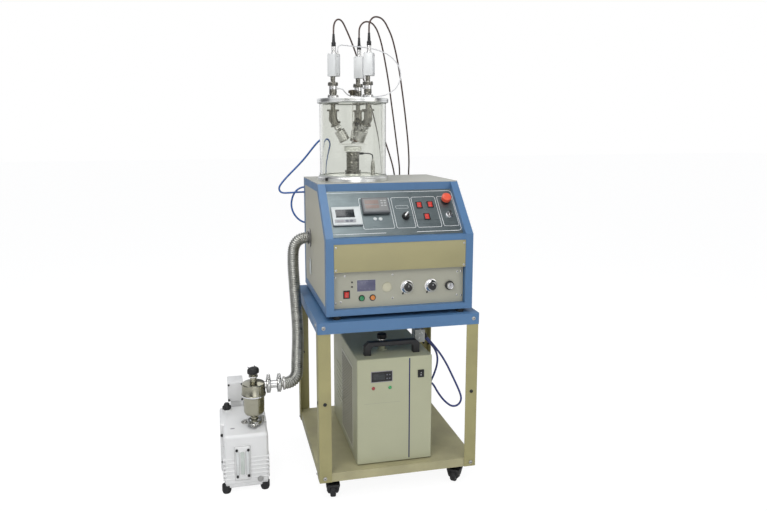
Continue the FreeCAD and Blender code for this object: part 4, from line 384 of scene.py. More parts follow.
cords = {
    "rearCable": {"node": "rf_cables", "diameter": 6.5, "length": 931, "finish": "coax", "points": [
        (-176.2, 25.9, 1690), (-176.2, 25.9, 1705), (-174.9, 27.2, 1721.9), (-168.6, 33.5, 1737.5),
        (-157.2, 44.9, 1747.6), (-143.8, 58.3, 1748.9), (-130.9, 71.2, 1740.8), (-118.1, 84, 1722.1),
        (-91.1, 114.2, 1681.2), (-55.9, 159, 1620.3), (-26.3, 198.3, 1552.9), (4.5, 231.4, 1482.7),
        (37.9, 260.5, 1412), (72.2, 286.3, 1340.3), (105.4, 309.2, 1267.3), (135.3, 330, 1192.1),
        (147.5, 339.5, 1150), (152.6, 343, 1120), (153, 343.3, 1097.3), (153, 333.3, 1080),
        (153, 316, 1070), (153, 296, 1070)]},
    "middleCable": {"node": "rf_cables", "diameter": 6.5, "length": 911, "finish": "coax", "points": [
        (-60.9, 103.6, 1690), (-60.9, 103.6, 1707), (-59.7, 104.7, 1725.9), (-50, 110.6, 1743),
        (-33.8, 122.2, 1754.7), (-13.2, 137.8, 1757.7), (5.5, 153.4, 1753.6), (20.7, 166.9, 1741.8),
        (34.2, 178.9, 1724.8), (56.6, 204.2, 1680), (81, 235.6, 1604.4), (102.7, 261.9, 1525.8),
        (120.2, 284.7, 1445), (137.4, 304, 1363), (153.1, 320.2, 1280.2), (168.8, 334.5, 1196.9),
        (174.4, 340.5, 1152), (173.8, 343, 1120), (174, 343.3, 1097.3), (174, 333.3, 1080),
        (174, 316, 1070), (174, 296, 1070)]},
    "frontCable": {"node": "rf_cables", "diameter": 6.5, "length": 973, "finish": "coax", "points": [
        (-52.2, -28.8, 1690), (-52.2, -28.8, 1707), (-51.1, -27.6, 1725.9), (-41.3, -20.4, 1742.5),
        (-25.3, -6.8, 1752.7), (-5.4, 11.1, 1755), (12.7, 29.1, 1752), (28.9, 46.2, 1742),
        (43.2, 61.3, 1726.2), (70, 93.6, 1694.7), (100.1, 137.6, 1632.5), (126, 179.6, 1566.4),
        (147.9, 217, 1496.2), (168.6, 251.8, 1424), (186.7, 281, 1348.8), (203.2, 307.2, 1272.1),
        (214.6, 329.9, 1193.4), (215.4, 339, 1151), (216.8, 343, 1120), (217, 343.3, 1097.3),
        (217, 333.3, 1080), (217, 316, 1070), (217, 296, 1070)]},
    "gasTube": {"node": "cooling_loop", "diameter": 4.4, "length": 658, "finish": "gas", "points": [
        (-155.7, 31.8, 1490), (-142, 33.1, 1490), (-131, 44, 1477), (-112, 58, 1464.5), (-78, 64.5, 1460),
        (-32, 73, 1460.5), (12, 79.5, 1464), (53, 82, 1473), (88, 84.3, 1500), (106, 85.7, 1537),
        (98, 84.2, 1583), (63, 80.5, 1620), (13, 74, 1641), (-40, 65.5, 1649), (-88, 55, 1650.5),
        (-125, 42, 1652), (-149, 32.5, 1652), (-158, 29, 1646), (-161, 28, 1636), (-161, 28, 1628)]},
    "archTube": {"node": "water_tubes_left", "diameter": 8, "length": 595, "finish": "waterBlue",
                 "points": [
        (-196, 236, 1158), (-196, 236, 1178), (-191, 235, 1201), (-183, 233, 1226), (-175, 231, 1250),
        (-168, 229, 1270), (-169, 228, 1284), (-176, 227, 1294), (-187, 227, 1298), (-199, 230, 1294),
        (-211, 237, 1283), (-230, 257, 1257), (-258, 280, 1217), (-290, 294, 1181), (-320, 301, 1151),
        (-341, 303, 1129), (-355.5, 303.5, 1112), (-365, 304, 1098), (-366.5, 304, 1085.5),
        (-360.7, 304, 1075), (-348.9, 304, 1070), (-325, 303, 1070.6), (-291, 301, 1072.5),
        (-258, 302, 1073), (-228, 302, 1073)]},
    "sideTube": {"node": "water_tubes_left", "diameter": 8, "length": 269, "finish": "waterBlue",
                 "points": [
        (-228, 302, 1096), (-257, 302, 1096), (-283, 308, 1088), (-302, 313.5, 1068), (-313, 314, 1040),
        (-315, 313, 1009), (-306, 310, 980), (-286, 305, 954), (-258, 302, 939), (-228, 302, 939)]},
    "longTube": {"node": "water_tubes_right", "diameter": 8, "length": 552, "finish": "waterNavy",
                 "points": [
        (151, -112, 539), (195, -112, 488), (234, -112, 431), (264, -112, 370), (291, -112, 313),
        (304, -112, 281), (307, -112, 262), (301, -112, 246), (288, -112, 236), (271, -112, 235),
        (254, -112, 244), (229, -112, 268), (205, -112, 303), (190, -112, 332), (174, -112, 348.5),
        (160, -112, 352), (144, -112, 352)]},
    "shortTube": {"node": "water_tubes_right", "diameter": 8, "length": 265, "finish": "waterNavy",
                  "points": [
        (151, -88, 529), (179, -88, 500), (204, -88, 468), (213, -88, 436), (211, -88, 404),
        (200, -88, 370), (188, -88, 343), (176, -88, 325), (161, -88, 318), (144, -88, 318)]},
}

bellows = {"node": "bellows_hose", "diameter": 48, "length": 646, "pitch": 7.2, "depth": 3.4, "sides": 40,
           "points": [
    (-271, 118, 905), (-294, 118, 905), (-316.5, 118.5, 892), (-330, 118, 869), (-334, 115, 836),
    (-335, 106, 783), (-332.5, 92, 715), (-330.5, 70, 645), (-329, 44, 575), (-332, 12, 512),
    (-339, -24, 467), (-344.2, -47.3, 433.4), (-345.9, -61.9, 409.6), (-353.5, -70.4, 395.7),
    (-366.2, -76.6, 385.5), (-382.5, -80, 380), (-400, -80, 380)]}


def smoothLine(name, points, radius=0.0):
    data = bpy.data.curves.new(name, "CURVE")
    data.dimensions = "3D"
    data.resolution_u = 12
    data.bevel_depth = radius * mm
    data.bevel_resolution = 5
    data.use_fill_caps = True
    line = data.splines.new("NURBS")
    line.points.add(len(points) - 1)
    for point, place in zip(line.points, points):
        point.co = (*spot(*place), 1)
    line.order_u = 3
    line.use_endpoint_u = True
    piece = bpy.data.objects.new(name, data)
    bpy.context.scene.collection.objects.link(piece)
    return piece


def layCords():
    for name, cord in cords.items():
        piece = smoothLine(name, cord["points"], cord["diameter"] / 2)
        piece.data.materials.append(finishes[cord["finish"]])
        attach(piece, "machine")
        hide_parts(cord["node"])


def bellowsRings(path):  # the hose's own line, cut to a quarter of a corrugation
    steps, spare = [path[0]], 0.0
    stride = bellows["pitch"] / 4 * mm
    for here, after in zip(path, path[1:]):
        run = after - here
        while spare + run.length >= stride:
            here = here + run.normalized() * (stride - spare)
            run = after - here
            steps.append(here)
            spare = 0.0
        spare += run.length
    return steps + [path[-1]]


def layBellows():
    guide = smoothLine("bellowsGuide", bellows["points"])
    bpy.context.view_layer.update()
    mesh = bpy.data.meshes.new_from_object(guide)
    path = [vertex.co.copy() for vertex in mesh.vertices]
    steps = bellowsRings(path)
    shape = bmesh.new()
    side = Vector((0, 1, 0))
    rings = []
    for index, place in enumerate(steps):
        before, after = steps[max(index - 1, 0)], steps[min(index + 1, len(steps) - 1)]
        ahead = (after - before).normalized()
        side = (side - ahead * side.dot(ahead)).normalized()
        lift = ahead.cross(side)
        wave = 0.5 - 0.5 * math.cos(index * math.pi / 2)
        radius = (bellows["diameter"] / 2 - bellows["depth"] * wave) * mm
        ring = []
        for k in range(bellows["sides"]):
            angle = 2 * math.pi * k / bellows["sides"]
            ring.append(shape.verts.new(place + (side * math.cos(angle) + lift * math.sin(angle)) * radius))
        rings.append(ring)
    for first, second in zip(rings, rings[1:]):
        for k in range(bellows["sides"]):
            j = (k + 1) % bellows["sides"]
            shape.faces.new((first[k], first[j], second[j], second[k]))
    shape.faces.new(reversed(rings[0]))
    shape.faces.new(rings[-1])
    bmesh.ops.recalc_face_normals(shape, faces=shape.faces)
    data = bpy.data.meshes.new("bellows")
    shape.to_mesh(data)
    shape.free()
    bpy.data.objects.remove(guide)
    piece = bpy.data.objects.new("bellows", data)
    bpy.context.scene.collection.objects.link(piece)
    for polygon in data.polygons:
        polygon.use_smooth = True
    data.materials.append(hoseSteel())
    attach(piece, "machine")
    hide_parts(bellows["node"])


def hoseSteel():
    material, tree, shader = shaded("hoseSteel")
    cloud = speckle(tree, placeOn(tree), 60, 4)
    tint = blended(tree, between(tree, cloud, 0, 1), (0.26, 0.26, 0.235), (0.44, 0.44, 0.405))
    fed(tree, shader, {"Base Color": tint, "Metallic": 1.0, "Roughness": between(tree, cloud, 0.26, 0.42)})
    return material


layCords()
layBellows()
print("cords laid")

# Ways of working: each piece is started from a primitive, shaped in edit mode and laid in its place

def face(origin, lean):  # a face to lay things on: x across, y up it, z out of it
    return stand(*origin) @ Matrix.Rotation(lean, 4, "X")


def facing(origin, across, upward):
    across, upward = Vector(across), Vector(upward)
    way = Matrix((across, upward, across.cross(upward))).transposed().to_4x4()
    return stand(*origin) @ way


def at(x, y, z=0, angle=0):
    return Matrix.Translation((x * mm, y * mm, z * mm)) @ spin(angle)


deskLean = math.atan2(180, 172)
desk = face((7.5, -270 + 20 * math.sin(deskLean), 960 - 20 * math.cos(deskLean)), deskLean)
rack = face((7.5, -250, 706), turn(90))
chillerFront = face((-9.5, -255, 111), turn(90))
aboutX = spin(90, "X")


def begin():
    if bpy.context.object and bpy.context.object.mode != "OBJECT":
        bpy.ops.object.mode_set(mode="OBJECT")
    bpy.ops.object.select_all(action="DESELECT")


def only(piece):
    begin()
    piece.select_set(True)
    bpy.context.view_layer.objects.active = piece
    return piece


def started(name):
    piece = bpy.context.object
    piece.name = name
    piece.data.name = name
    bpy.ops.object.transform_apply(location=True, rotation=True, scale=True)
    return piece


def block(name, size, middle=(0, 0, 0)):
    begin()
    bpy.ops.mesh.primitive_cube_add(size=1, location=[value * mm for value in middle])
    bpy.context.object.scale = [value * mm for value in size]
    return started(name)


def drum(name, radius, height, base=0.0, sides=32):
    begin()
    bpy.ops.mesh.primitive_cylinder_add(vertices=sides, radius=radius * mm, depth=height * mm,
                                        location=(0, 0, (base + height / 2) * mm))
    return started(name)


def turned(name, steps, sides=48, hollow=False, base=0):
    # a disc drawn up and opened or drawn in at each step of (radius, height)
    begin()
    steps = [(radius, height + base) for radius, height in steps]
    first, low = steps[0]
    bpy.ops.mesh.primitive_circle_add(vertices=sides, radius=first * mm, location=(0, 0, low * mm),
                                      fill_type="NOTHING" if hollow else "NGON")
    piece = started(name)
    bpy.ops.object.mode_set(mode="EDIT")
    bpy.ops.mesh.select_mode(type="VERT")
    bpy.ops.mesh.select_all(action="SELECT")
    for (radius, height), (wide, tall) in zip(steps, steps[1:]):
        bpy.ops.mesh.extrude_region_move(TRANSFORM_OT_translate={"value": (0, 0, (tall - height) * mm)})
        if wide != radius:
            bpy.ops.transform.resize(value=(wide / radius, wide / radius, 1),
                                     center_override=(0, 0, tall * mm))
    bpy.ops.mesh.select_all(action="SELECT")
    bpy.ops.mesh.remove_doubles(threshold=0.000002)
    bpy.ops.mesh.normals_make_consistent(inside=False)
    bpy.ops.object.mode_set(mode="OBJECT")
    return piece


def pickFaces(piece, test):
    only(piece)
    bpy.ops.object.mode_set(mode="EDIT")
    bpy.ops.mesh.select_mode(type="FACE")
    bpy.ops.mesh.select_all(action="DESELECT")
    mesh = bmesh.from_edit_mesh(piece.data)
    for part in mesh.faces:
        part.select_set(bool(test(part.calc_center_median() / mm, part.normal)))
    bmesh.update_edit_mesh(piece.data)


def above(low=-1000):
    return lambda middle, normal: normal.z > 0.99 and middle.z > low


def inset(piece, test, rim, depth=0.0):
    # a face drawn in by a rim, then pushed out or in along its normal
    pickFaces(piece, test)
    bpy.ops.mesh.inset(thickness=rim * mm, depth=0)
    if depth:
        bpy.ops.mesh.extrude_region_shrink_fatten(TRANSFORM_OT_shrink_fatten={"value": depth * mm})
    bpy.ops.object.mode_set(mode="OBJECT")
    return piece


def finishedWith(piece, kind, **values):
    only(piece)
    modifier = piece.modifiers.new(kind.lower(), kind)
    for name, value in values.items():
        setattr(modifier, name, value)
    bpy.ops.object.modifier_apply(modifier=modifier.name)
    return piece


def rounded(piece, width, segments=3, angle=35):
    return finishedWith(piece, "BEVEL", width=width * mm, segments=segments, limit_method="ANGLE",
                        angle_limit=turn(angle), harden_normals=False)


def slab(name, size, middle, soft, segments, finish):
    return coat(rounded(block(name, size, middle), soft, segments), finish)


def laid(piece, where):
    piece.data.transform(where)
    piece.data.update()
    return piece


def copied(piece, where):
    twin = piece.copy()
    twin.data = piece.data.copy()
    bpy.context.scene.collection.objects.link(twin)
    return laid(twin, where)


def repeated(piece, places):
    twins = [copied(piece, where) for where in places]
    bpy.data.objects.remove(piece)
    return twins


def coat(piece, finish):
    piece.data.materials.clear()
    piece.data.materials.append(finishes[finish])
    return piece


def joined(name, pieces):
    begin()
    for piece in pieces:
        piece.select_set(True)
    bpy.context.view_layer.objects.active = pieces[0]
    bpy.ops.object.join()
    pieces[0].name = name
    pieces[0].data.name = name
    return pieces[0]


def mounted(piece, body="machine", instead=()):  # the solids that it stands for, if any, are hidden
    only(piece)
    bpy.ops.object.shade_smooth_by_angle(angle=turn(32))
    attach(piece, body)
    if instead:
        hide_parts(*instead)
    piece.select_set(False)
    return piece


def screwHead(radius=3.2, height=1.6):  # pan head with a cross recess, drawn as two black bars: painted shade in the recess
    head = turned("screwHead", [
        (radius, 0), (radius, height * 0.5), (radius * 0.72, height * 0.9), (radius * 0.3, height)], 20)
    bar = block("crossShadeBar", (radius * 1.1, radius * 0.28, 0.7), (0, 0, height))
    stem = block("crossShadeStem", (radius * 0.28, radius * 1.1, 0.7), (0, 0, height))
    coat(head, "bright")
    coat(bar, "black")
    coat(stem, "black")
    return joined("screwHead", [head, bar, stem])


# Finishes for the drawing's own solids that stay in view

keptFinishes = {
    "cart_top": "blue", "cart_legs": "khaki", "cart_shelf": "shelf", "caster_plates": "matt",
    "cabinet_frame": "blue", "cabinet_panels": "cabinet", "cabinet_top": "deck", "rubber_feet": "rubber",
    "control_panel": "darkPanel", "rf_generator": "rack", "chiller_housing": "chiller",
    "chiller_handle": "black", "cord_fittings": "zinc",
}
for name, node in nodes.items():
    if name in keptFinishes or name.startswith("caster_fork"):
        node.data.materials.clear()
        node.data.materials.append(finishes[keptFinishes.get(name, "black")])
print("solids finished")

# Chamber: quartz wall, lid, base ring and seals

chamber = {"deck": 1140, "base": 20, "glass": 270, "radius": 128, "wall": 9,
           "flange": 137, "seal": 3, "headCircle": 78}
glassLow = chamber["deck"] + chamber["base"] + chamber["seal"]
lidLow = glassLow + chamber["glass"] + chamber["seal"]
chamberPlace = stand(*chamberMiddle, 0)
seatAt = (-218, -36)


def chamberWall():
    outer, inner = chamber["radius"], chamber["radius"] - chamber["wall"]
    wall = turned("quartzWall", [(inner + 0.8, glassLow), (outer - 0.8, glassLow), (outer, glassLow + 0.8),
                                 (outer, glassLow + chamber["glass"] - 0.8),
                                 (outer - 0.8, glassLow + chamber["glass"]),
                                 (inner + 0.8, glassLow + chamber["glass"]),
                                 (inner, glassLow + chamber["glass"] - 0.8), (inner, glassLow + 0.8),
                                 (inner + 0.8, glassLow)], 128, True)
    mounted(coat(laid(wall, chamberPlace), "quartz"), instead=("quartz_cylinder",))
    rings = []
    for low in (glassLow - 3, glassLow + chamber["glass"]):
        rings.append(turned("sealRing", [
            (inner - 3, low), (outer + 1.4, low), (outer + 2, low + 0.8), (outer + 2, low + 2.2),
            (outer + 1.4, low + 3), (inner - 3, low + 3), (inner - 3, low)], 96, True))
    mounted(coat(laid(joined("sealRings", rings), chamberPlace), "seal"), instead=("chamber_seals",))


def chamberLid():
    edge = chamber["flange"]
    plate = turned("lidPlate", [
        (edge - 1.5, 0), (edge, 1.5), (edge, 14.5), (edge - 1.5, 16), (14, 16), (12.5, 17), (12, 27),
        (11, 28), (3.4, 28)], 128, base=lidLow)
    coat(plate, "lid")
    band = turned("lidBand", [
        (edge - 0.6, 6.8), (edge + 0.01, 6.8), (edge + 0.01, 7.6), (edge - 0.6, 7.6)], 128, True, lidLow)
    coat(band, "dark")
    mounted(laid(joined("chamberLid", [plate, band]), chamberPlace), instead=("chamber_lid",))


def chamberBase():
    low, edge = chamber["deck"], chamber["flange"]
    ring = turned("baseRing", [
        (edge - 1, low), (edge, low + 1), (edge, low + 13), (edge - 1.4, low + 15), (131.5, low + 15.5),
        (131, low + 16), (131, low + 19.4), (130.4, low + 20)], 128)
    coat(ring, "lid")
    latch = rounded(block("seatBlock", (15, 11, 12), (0, 0, 0)), 1.2, 2)
    angle = math.atan2(seatAt[1] - chamberMiddle[1], seatAt[0] - chamberMiddle[0])
    laid(latch, Matrix.Rotation(angle, 4, "Z") @ at(133.2, 0, low + 10))
    coat(latch, "black")
    mounted(laid(joined("baseRing", [ring, latch]), chamberPlace), instead=("base_flange",))


# Stage under the heads: ribbed column, pale heated table, its lead and braided sleeve

def heatedStage():
    floor = chamber["deck"] + chamber["base"]
    column = turned("stageColumn", [
        (31, 0), (31, 6), (29, 7.5), (29, 12.5), (31, 14), (31, 18.4), (30.4, 19), (25, 19), (24.6, 21),
        (25, 24), (25, 52), (24.7, 52.6), (24.7, 53.6), (25, 54.2), (25, 84), (24.4, 85.5), (26.4, 86.2),
        (27, 87), (27, 89), (5.2, 89)], 72, base=floor)
    coat(column, "column")
    foot = coat(turned("stageFoot", [(31.1, 0.1), (31.1, 5.8)], 72, True, floor), "lid")
    laid(column, chamberPlace)
    laid(foot, chamberPlace)
    lead = smoothLine("heaterLead", [
        (-78.8, 47.5, floor + 81), (-60, 56, floor + 83), (-32, 69, floor + 82), (-16, 76, floor + 78),
        (-11, 78, floor + 70), (-11, 78, floor + 54)], 2.5)
    lead.data.materials.append(finishes["black"])
    only(lead)
    bpy.ops.object.convert(target="MESH")
    lead = bpy.context.object
    plug = rounded(block("leadPlug", (22, 9, 9), (0, 0, 0)), 2, 3)
    laid(plug, stand(-66, 53.5, floor + 82.4) @ spin(24))
    coat(plug, "black")
    sleeve = turned("leadSleeve", [
        (9, 0), (9, 3.2), (8.6, 4), (7.6, 8), (9.4, 14), (8, 19), (9.4, 25), (8.8, 32), (7, 37),
        (7.6, 43), (6, 50), (3.8, 56), (3, 60)], 24)
    coat(laid(sleeve, stand(-11, 78, floor)), "zinc")
    mounted(joined("stageColumn", [column, foot, lead, plug, sleeve]), instead=("stage_column",))
    high = floor + 89
    table = turned("stageTable", [
        (12, 0.3), (12, 2), (32, 2), (33, 3), (33, 21), (32.2, 22), (27.4, 22), (27, 21.5), (26.6, 21),
        (3, 21)], 72, base=high)
    # a thin dark ring round the table's side where a groove is: painted shade, the groove itself is not cut
    groove = turned("tableGrooveShade", [(33.02, 11.2), (33.02, 12.4)], 72, True, high)
    coat(table, "tablePale")
    coat(groove, "dark")
    mounted(laid(joined("stageTable", [table, groove]), chamberPlace), "stage", ("stage_table",))


# Shutter: star knob over the lid, shaft and a blade with one window

star = {"reach": 14.5, "low": 38, "drop": 156.5, "blade": 58, "window": 23}


def shutterParts():
    hub = turned("starHub", [(9, 28.3), (10.4, 33), (11, 38), (11, 48), (10, 49.6), (5, 50.4)], 40)
    lobes = []
    for step in range(4):
        lobe = turned("starLobe", [(4.6, star["low"]), (6, star["low"] + 1.5), (6, star["low"] + 8.5),
                                   (4.6, star["low"] + 10)], 24)
        lobes.append(laid(lobe, spin(90 * step) @ at(star["reach"], 0)))
    knob = coat(joined("starKnob", [hub] + lobes), "bronze")
    shaft = turned("shutterShaft", [(6.5, -star["drop"]), (6.5, 6 - star["drop"]), (2.6, 8 - star["drop"]),
                                    (2.5, 9 - star["drop"]), (2.5, 29)], 24)
    blade = drum("shutterBlade", star["blade"], 1.5, -star["drop"], 72)
    hole = drum("bladeWindow", star["window"], 6, -star["drop"] - 2, 48)
    laid(hole, at(-(chamber["headCircle"] - 44), 0))
    finishedWith(blade, "BOOLEAN", operation="DIFFERENCE", object=hole, solver="EXACT")
    bpy.data.objects.remove(hole)
    coat(shaft, "bright")
    coat(blade, "steel")
    whole = joined("shutter", [knob, shaft, blade])
    laid(whole, chamberPlace @ at(0, 0, lidLow) @ spin(125.5))
    mounted(whole, "shutter", ("shutter",))


# Sputter heads: what the lid carries, then the guns that tilt on it

heads = {"turns": {"1": 185.5, "2": 305.5, "3": 62}, "boxTurns": {"1": -46, "2": -27, "3": -27},
         "drop": 62, "tilt": 30, "pivot": 36, "screws": 6}


def headPlace(angle):
    return chamberPlace @ at(0, 0, lidLow) @ spin(angle) @ at(chamber["headCircle"], 0) @ spin(180)


def tiltPlace():
    return at(0, 0, -heads["drop"]) @ spin(-heads["tilt"], "Y")


def headMount():
    spine = turned("headSpine", [
        (12, -57), (15.5, -57), (15.5, -41), (15, -40.4), (15, -39), (15.5, -38.4), (15.5, -32),
        (22, -32), (23, -31), (23, -26), (22, -25), (9, -25), (9, -5), (20, -5), (21, -4), (21, -0.2),
        (13, -0.2), (13, 16.2), (20, 16.2), (21, 17), (21, 27), (20, 28), (13, 28), (13, 33), (14, 33.4),
        (14.5, 34.4), (14.5, 46), (13.9, 46.8), (13.9, 48.6), (14.5, 49.4), (14.5, 63.4), (15, 64),
        (18.9, 64), (19.5, 65), (19.5, 75), (18.7, 76), (9, 76), (9, 83), (8.3, 83.8), (8.3, 85.4),
        (9, 86.2), (9, 98)], 40)
    coat(spine, "dark")
    bright = coat(turned("headBright", [(21.02, 17.6), (21.02, 26.4)], 40, True), "bright")
    lower = turned("headLower", [(14.52, 50.2), (14.52, 63)], 40, True)
    coat(lower, "bright")
    parts = [spine, bright, lower]
    screw = coat(turned("capScrew", [(2.4, 0), (2.4, 2.6), (1.8, 3), (1.2, 3), (1.2, 1.4)], 12), "bright")
    places = [spin(360 * step / heads["screws"]) @ at(17.2, 0, 28) for step in range(heads["screws"])]
    places += [spin(360 * (step + 0.5) / 4) @ at(16.2, 0, 76) for step in range(4)]
    parts += repeated(screw, places)
    nozzle = turned("gasNozzle", [(3.5, 9), (3.5, 20), (2.9, 20.6), (2.9, 24)], 16)
    parts.append(coat(laid(nozzle, at(0, 0, 54) @ spin(90, "Y")), "bright"))
    arm = []
    tube = turned("elbowTube", [
        (15.5, 8), (15.5, -4), (15, -4.6), (15, -6), (15.5, -6.6), (15.5, -16.4), (20, -17), (20.5, -18),
        (20.5, -22.6), (19.6, -24), (8, -24)], 40)
    arm.append(coat(tube, "dark"))
    knee = turned("elbowKnee", [(15.54, 9), (15.54, 3), (15.54, -3), (15.54, -6)], 40)
    half = spin(heads["tilt"] / 2, "Y")
    arm.append(coat(laid(knee, half), "dark"))
    for side in (-1, 1):
        cheek = rounded(block("cheek", (22, 6, 19), (0, side * 10, -33.5)), 4, 4)
        arm.append(coat(cheek, "steel"))
        wing = rounded(block("wing", (18, 3, 6), (0, side * 14.8, -36)), 1.2, 2)
        arm.append(coat(wing, "bright"))
    pin = drum("tiltPin", 3, 30.6, -15.3, 20)
    arm.append(coat(laid(pin, at(0, 0, -36) @ aboutX), "bright"))
    return joined("headMount", parts + [laid(piece, tiltPlace()) for piece in arm])


def gunBody():
    shell = turned("gunShell", [
        (7, -11.6), (17.4, -11.6), (19.6, -13.6), (19.6, -19.6), (20.2, -20.4), (20.2, -26),
        (19.6, -26.6), (19.6, -27.8), (20.2, -28.4), (20.2, -45.6), (20.8, -46.4), (20.8, -55),
        (20.2, -56), (16, -56), (16, -54.4), (13, -54), (13, -56), (2, -56)], 48)
    coat(shell, "steel")
    lug = slab("gunLug", (18, 13, 21), (0, 0, -3.5), 4.5, 4, "steel")
    target = coat(drum("target", 13, 0.5, -56.1, 40), "copper")
    return joined("gunBody", [shell, lug, target])


def sputterHeads():
    mount = headMount()
    gun = gunBody()
    mounts = repeated(mount, [headPlace(angle) for angle in heads["turns"].values()])
    mounted(joined("headMounts", mounts), instead=("head_mounts",))
    for label, angle in heads["turns"].items():
        piece = copied(gun, headPlace(angle) @ tiltPlace() @ at(0, 0, -heads["pivot"]))
        piece.name = f"gun{label}"
        mounted(piece, f"head_{label}", (f"sputter_head_{label}",))
    bpy.data.objects.remove(gun)


# Connector boxes over the heads: a folded cover on an inner channel, coaxial plug and relief

boxes = {"width": 36, "height": 84, "base": 98, "shift": 5, "corner": 3}


def connectorBox():
    wide, tall = boxes["width"], boxes["height"]
    # the cover's sides take the darker copy of the box paint, painted shade; the channel and ridges take
    # the lighter one
    cover = slab("boxCover", (wide, wide - 9, tall), (0, 4.5, tall / 2), boxes["corner"], 4, "boxShade")
    channel = rounded(block("boxChannel", (wide - 1, 9, tall - 1), (0, -wide / 2 + 4.6, tall / 2)), 1.2, 2)
    coat(channel, "box")
    parts = [cover, channel]
    for side in (-1, 1):
        ridge = block("boxRidge", (2, wide - 14, tall - 8), (side * (wide / 2 - 0.7), 3, tall / 2))
        rounded(ridge, 0.5, 2)
        parts.append(coat(ridge, "box"))
    screw = screwHead(2.2, 1.1)
    places = [at(x, y, tall - 0.1) for x in (-13, 13) for y in (-12, 13)]
    places += [at(side * wide / 2, y, z) @ spin(side * 90, "Y")
               for side in (-1, 1) for y in (-4, 10) for z in (9, tall - 9)]
    parts += repeated(screw, places)
    socket = turned("coaxSocket", [
        (11, 0), (11, 2.4), (10.4, 3), (8, 3), (8, 9), (7.3, 9.6), (7.3, 11), (8, 11.6), (8, 26.4),
        (7.4, 27)], 32, base=tall)
    parts.append(coat(socket, "bright"))
    plug = turned("coaxPlug", [
        (8.5, 27), (8.5, 33), (8, 33.6), (8, 35), (8.5, 35.6), (8.5, 41), (7.6, 42), (6, 42), (6, 47),
        (5.5, 48), (5.7, 52), (5.2, 53), (5.4, 57), (4.9, 58), (5.1, 62), (4.6, 63), (4.5, 72),
        (3.4, 72)], 24, base=tall)
    parts.append(coat(plug, "black"))
    return joined("connectorBox", parts)


def connectorBoxes():
    master = connectorBox()
    places = []
    for label, angle in heads["turns"].items():
        stem = headPlace(angle).to_translation() + Vector((0, 0, boxes["base"] * mm))
        places.append(Matrix.Translation(stem) @ spin(heads["boxTurns"][label]) @ at(boxes["shift"], 0))
    parts = repeated(master, places)
    high = lidLow + boxes["base"] + boxes["height"]
    nozzle = turned("boxNozzle", [(4.2, 0), (4.2, 4.6), (3.6, 5.2), (3, 6), (3, 9.4), (2.4, 10)], 20)
    parts.append(coat(laid(nozzle, stand(-161, 28, high)), "bright"))
    mounted(joined("connectorBoxes", parts), instead=("connector_boxes",))


chamberWall()
chamberLid()
chamberBase()
heatedStage()
shutterParts()
sputterHeads()
connectorBoxes()
print("chamber and heads made")

# Sloping panel: its printed lines, two meters, switches and knobs

panel = {"left": -240, "low": 32, "right": 241, "high": 217, "corner": 13, "line": 1.9, "gap": (-46, 69),
         "groups": ((-124, 51, -10, 190), (-1, 51, 70, 190), (77, 51, 169.5, 190), (178, 53, 236, 190)),
         "groupCorner": 6, "groupLine": 1.4, "strip": (11, 139, 58, 152)}


def roundPath(left, low, right, high, radius, steps=5):
    points = []
    corners = ((right - radius, high - radius, 0), (left + radius, high - radius, 90),
               (left + radius, low + radius, 180), (right - radius, low + radius, 270))
    for x, y, first in corners:
        for step in range(steps + 1):
            angle = turn(first + 90 * step / steps)
            points.append((x + radius * math.cos(angle), y + radius * math.sin(angle)))
    return points


def inkLine(points, width, closed=True):  # a round wire along the points, pressed nearly flat
    data = bpy.data.curves.new("inkLine", "CURVE")
    data.dimensions = "3D"
    data.bevel_depth = width / 2 * mm
    data.bevel_resolution = 1
    data.use_fill_caps = True
    line = data.splines.new("POLY")
    line.points.add(len(points) - 1)
    for point, (x, y) in zip(line.points, points):
        point.co = (x * mm, y * mm, 0, 1)
    line.use_cyclic_u = closed
    piece = bpy.data.objects.new("inkLine", data)
    bpy.context.scene.collection.objects.link(piece)
    only(piece)
    bpy.ops.object.convert(target="MESH")
    return laid(bpy.context.object, Matrix.Diagonal((1, 1, 0.3, 1)))


def printedPanel():
    edge = roundPath(panel["left"], panel["low"], panel["right"], panel["high"], panel["corner"])
    right = [(panel["gap"][1], panel["low"])] + edge[18:] + edge[:6]
    left = [(panel["left"], panel["high"]), (panel["left"], panel["low"]), (panel["gap"][0], panel["low"])]
    lines = [inkLine(right + left, panel["line"], False)]
    for group in panel["groups"]:
        lines.append(inkLine(roundPath(*group, panel["groupCorner"]), panel["groupLine"]))
    lines.append(inkLine(roundPath(*panel["strip"], 3), 0.9))
    mounted(laid(coat(joined("panelLines", lines), "ink"), desk))


def meterBody(name, size, height, finish, rim):  # a moulded bezel with a sunk face
    width, tall = size
    shell = rounded(block(name, (width, tall, height), (0, 0, height / 2)), 2.6, 4)
    coat(shell, finish)
    return inset(shell, above(height - 0.2), rim, -0.9)


def plate(name, size, middle, height, finish, soft=0.6):
    piece = block(name, (*size, height), (middle[0], middle[1], middle[2] + height / 2))
    return coat(rounded(piece, soft, 2), finish)


def ovalKey(wide, tall, height):
    key = turned("ovalKey", [
        (tall / 2, 0), (tall / 2, height * 0.7), (tall / 2 * 0.8, height), (tall / 2 * 0.5, height)], 28)
    return laid(key, Matrix.Diagonal((wide / tall, 1, 1, 1)))


gauge = {"at": (-179, 108), "size": (108, 80), "height": 9, "glass": (68, 35), "glassAt": (-6, 9.5),
         "keys": (-35, -20.5, -3, 13), "keyRow": -23.5}


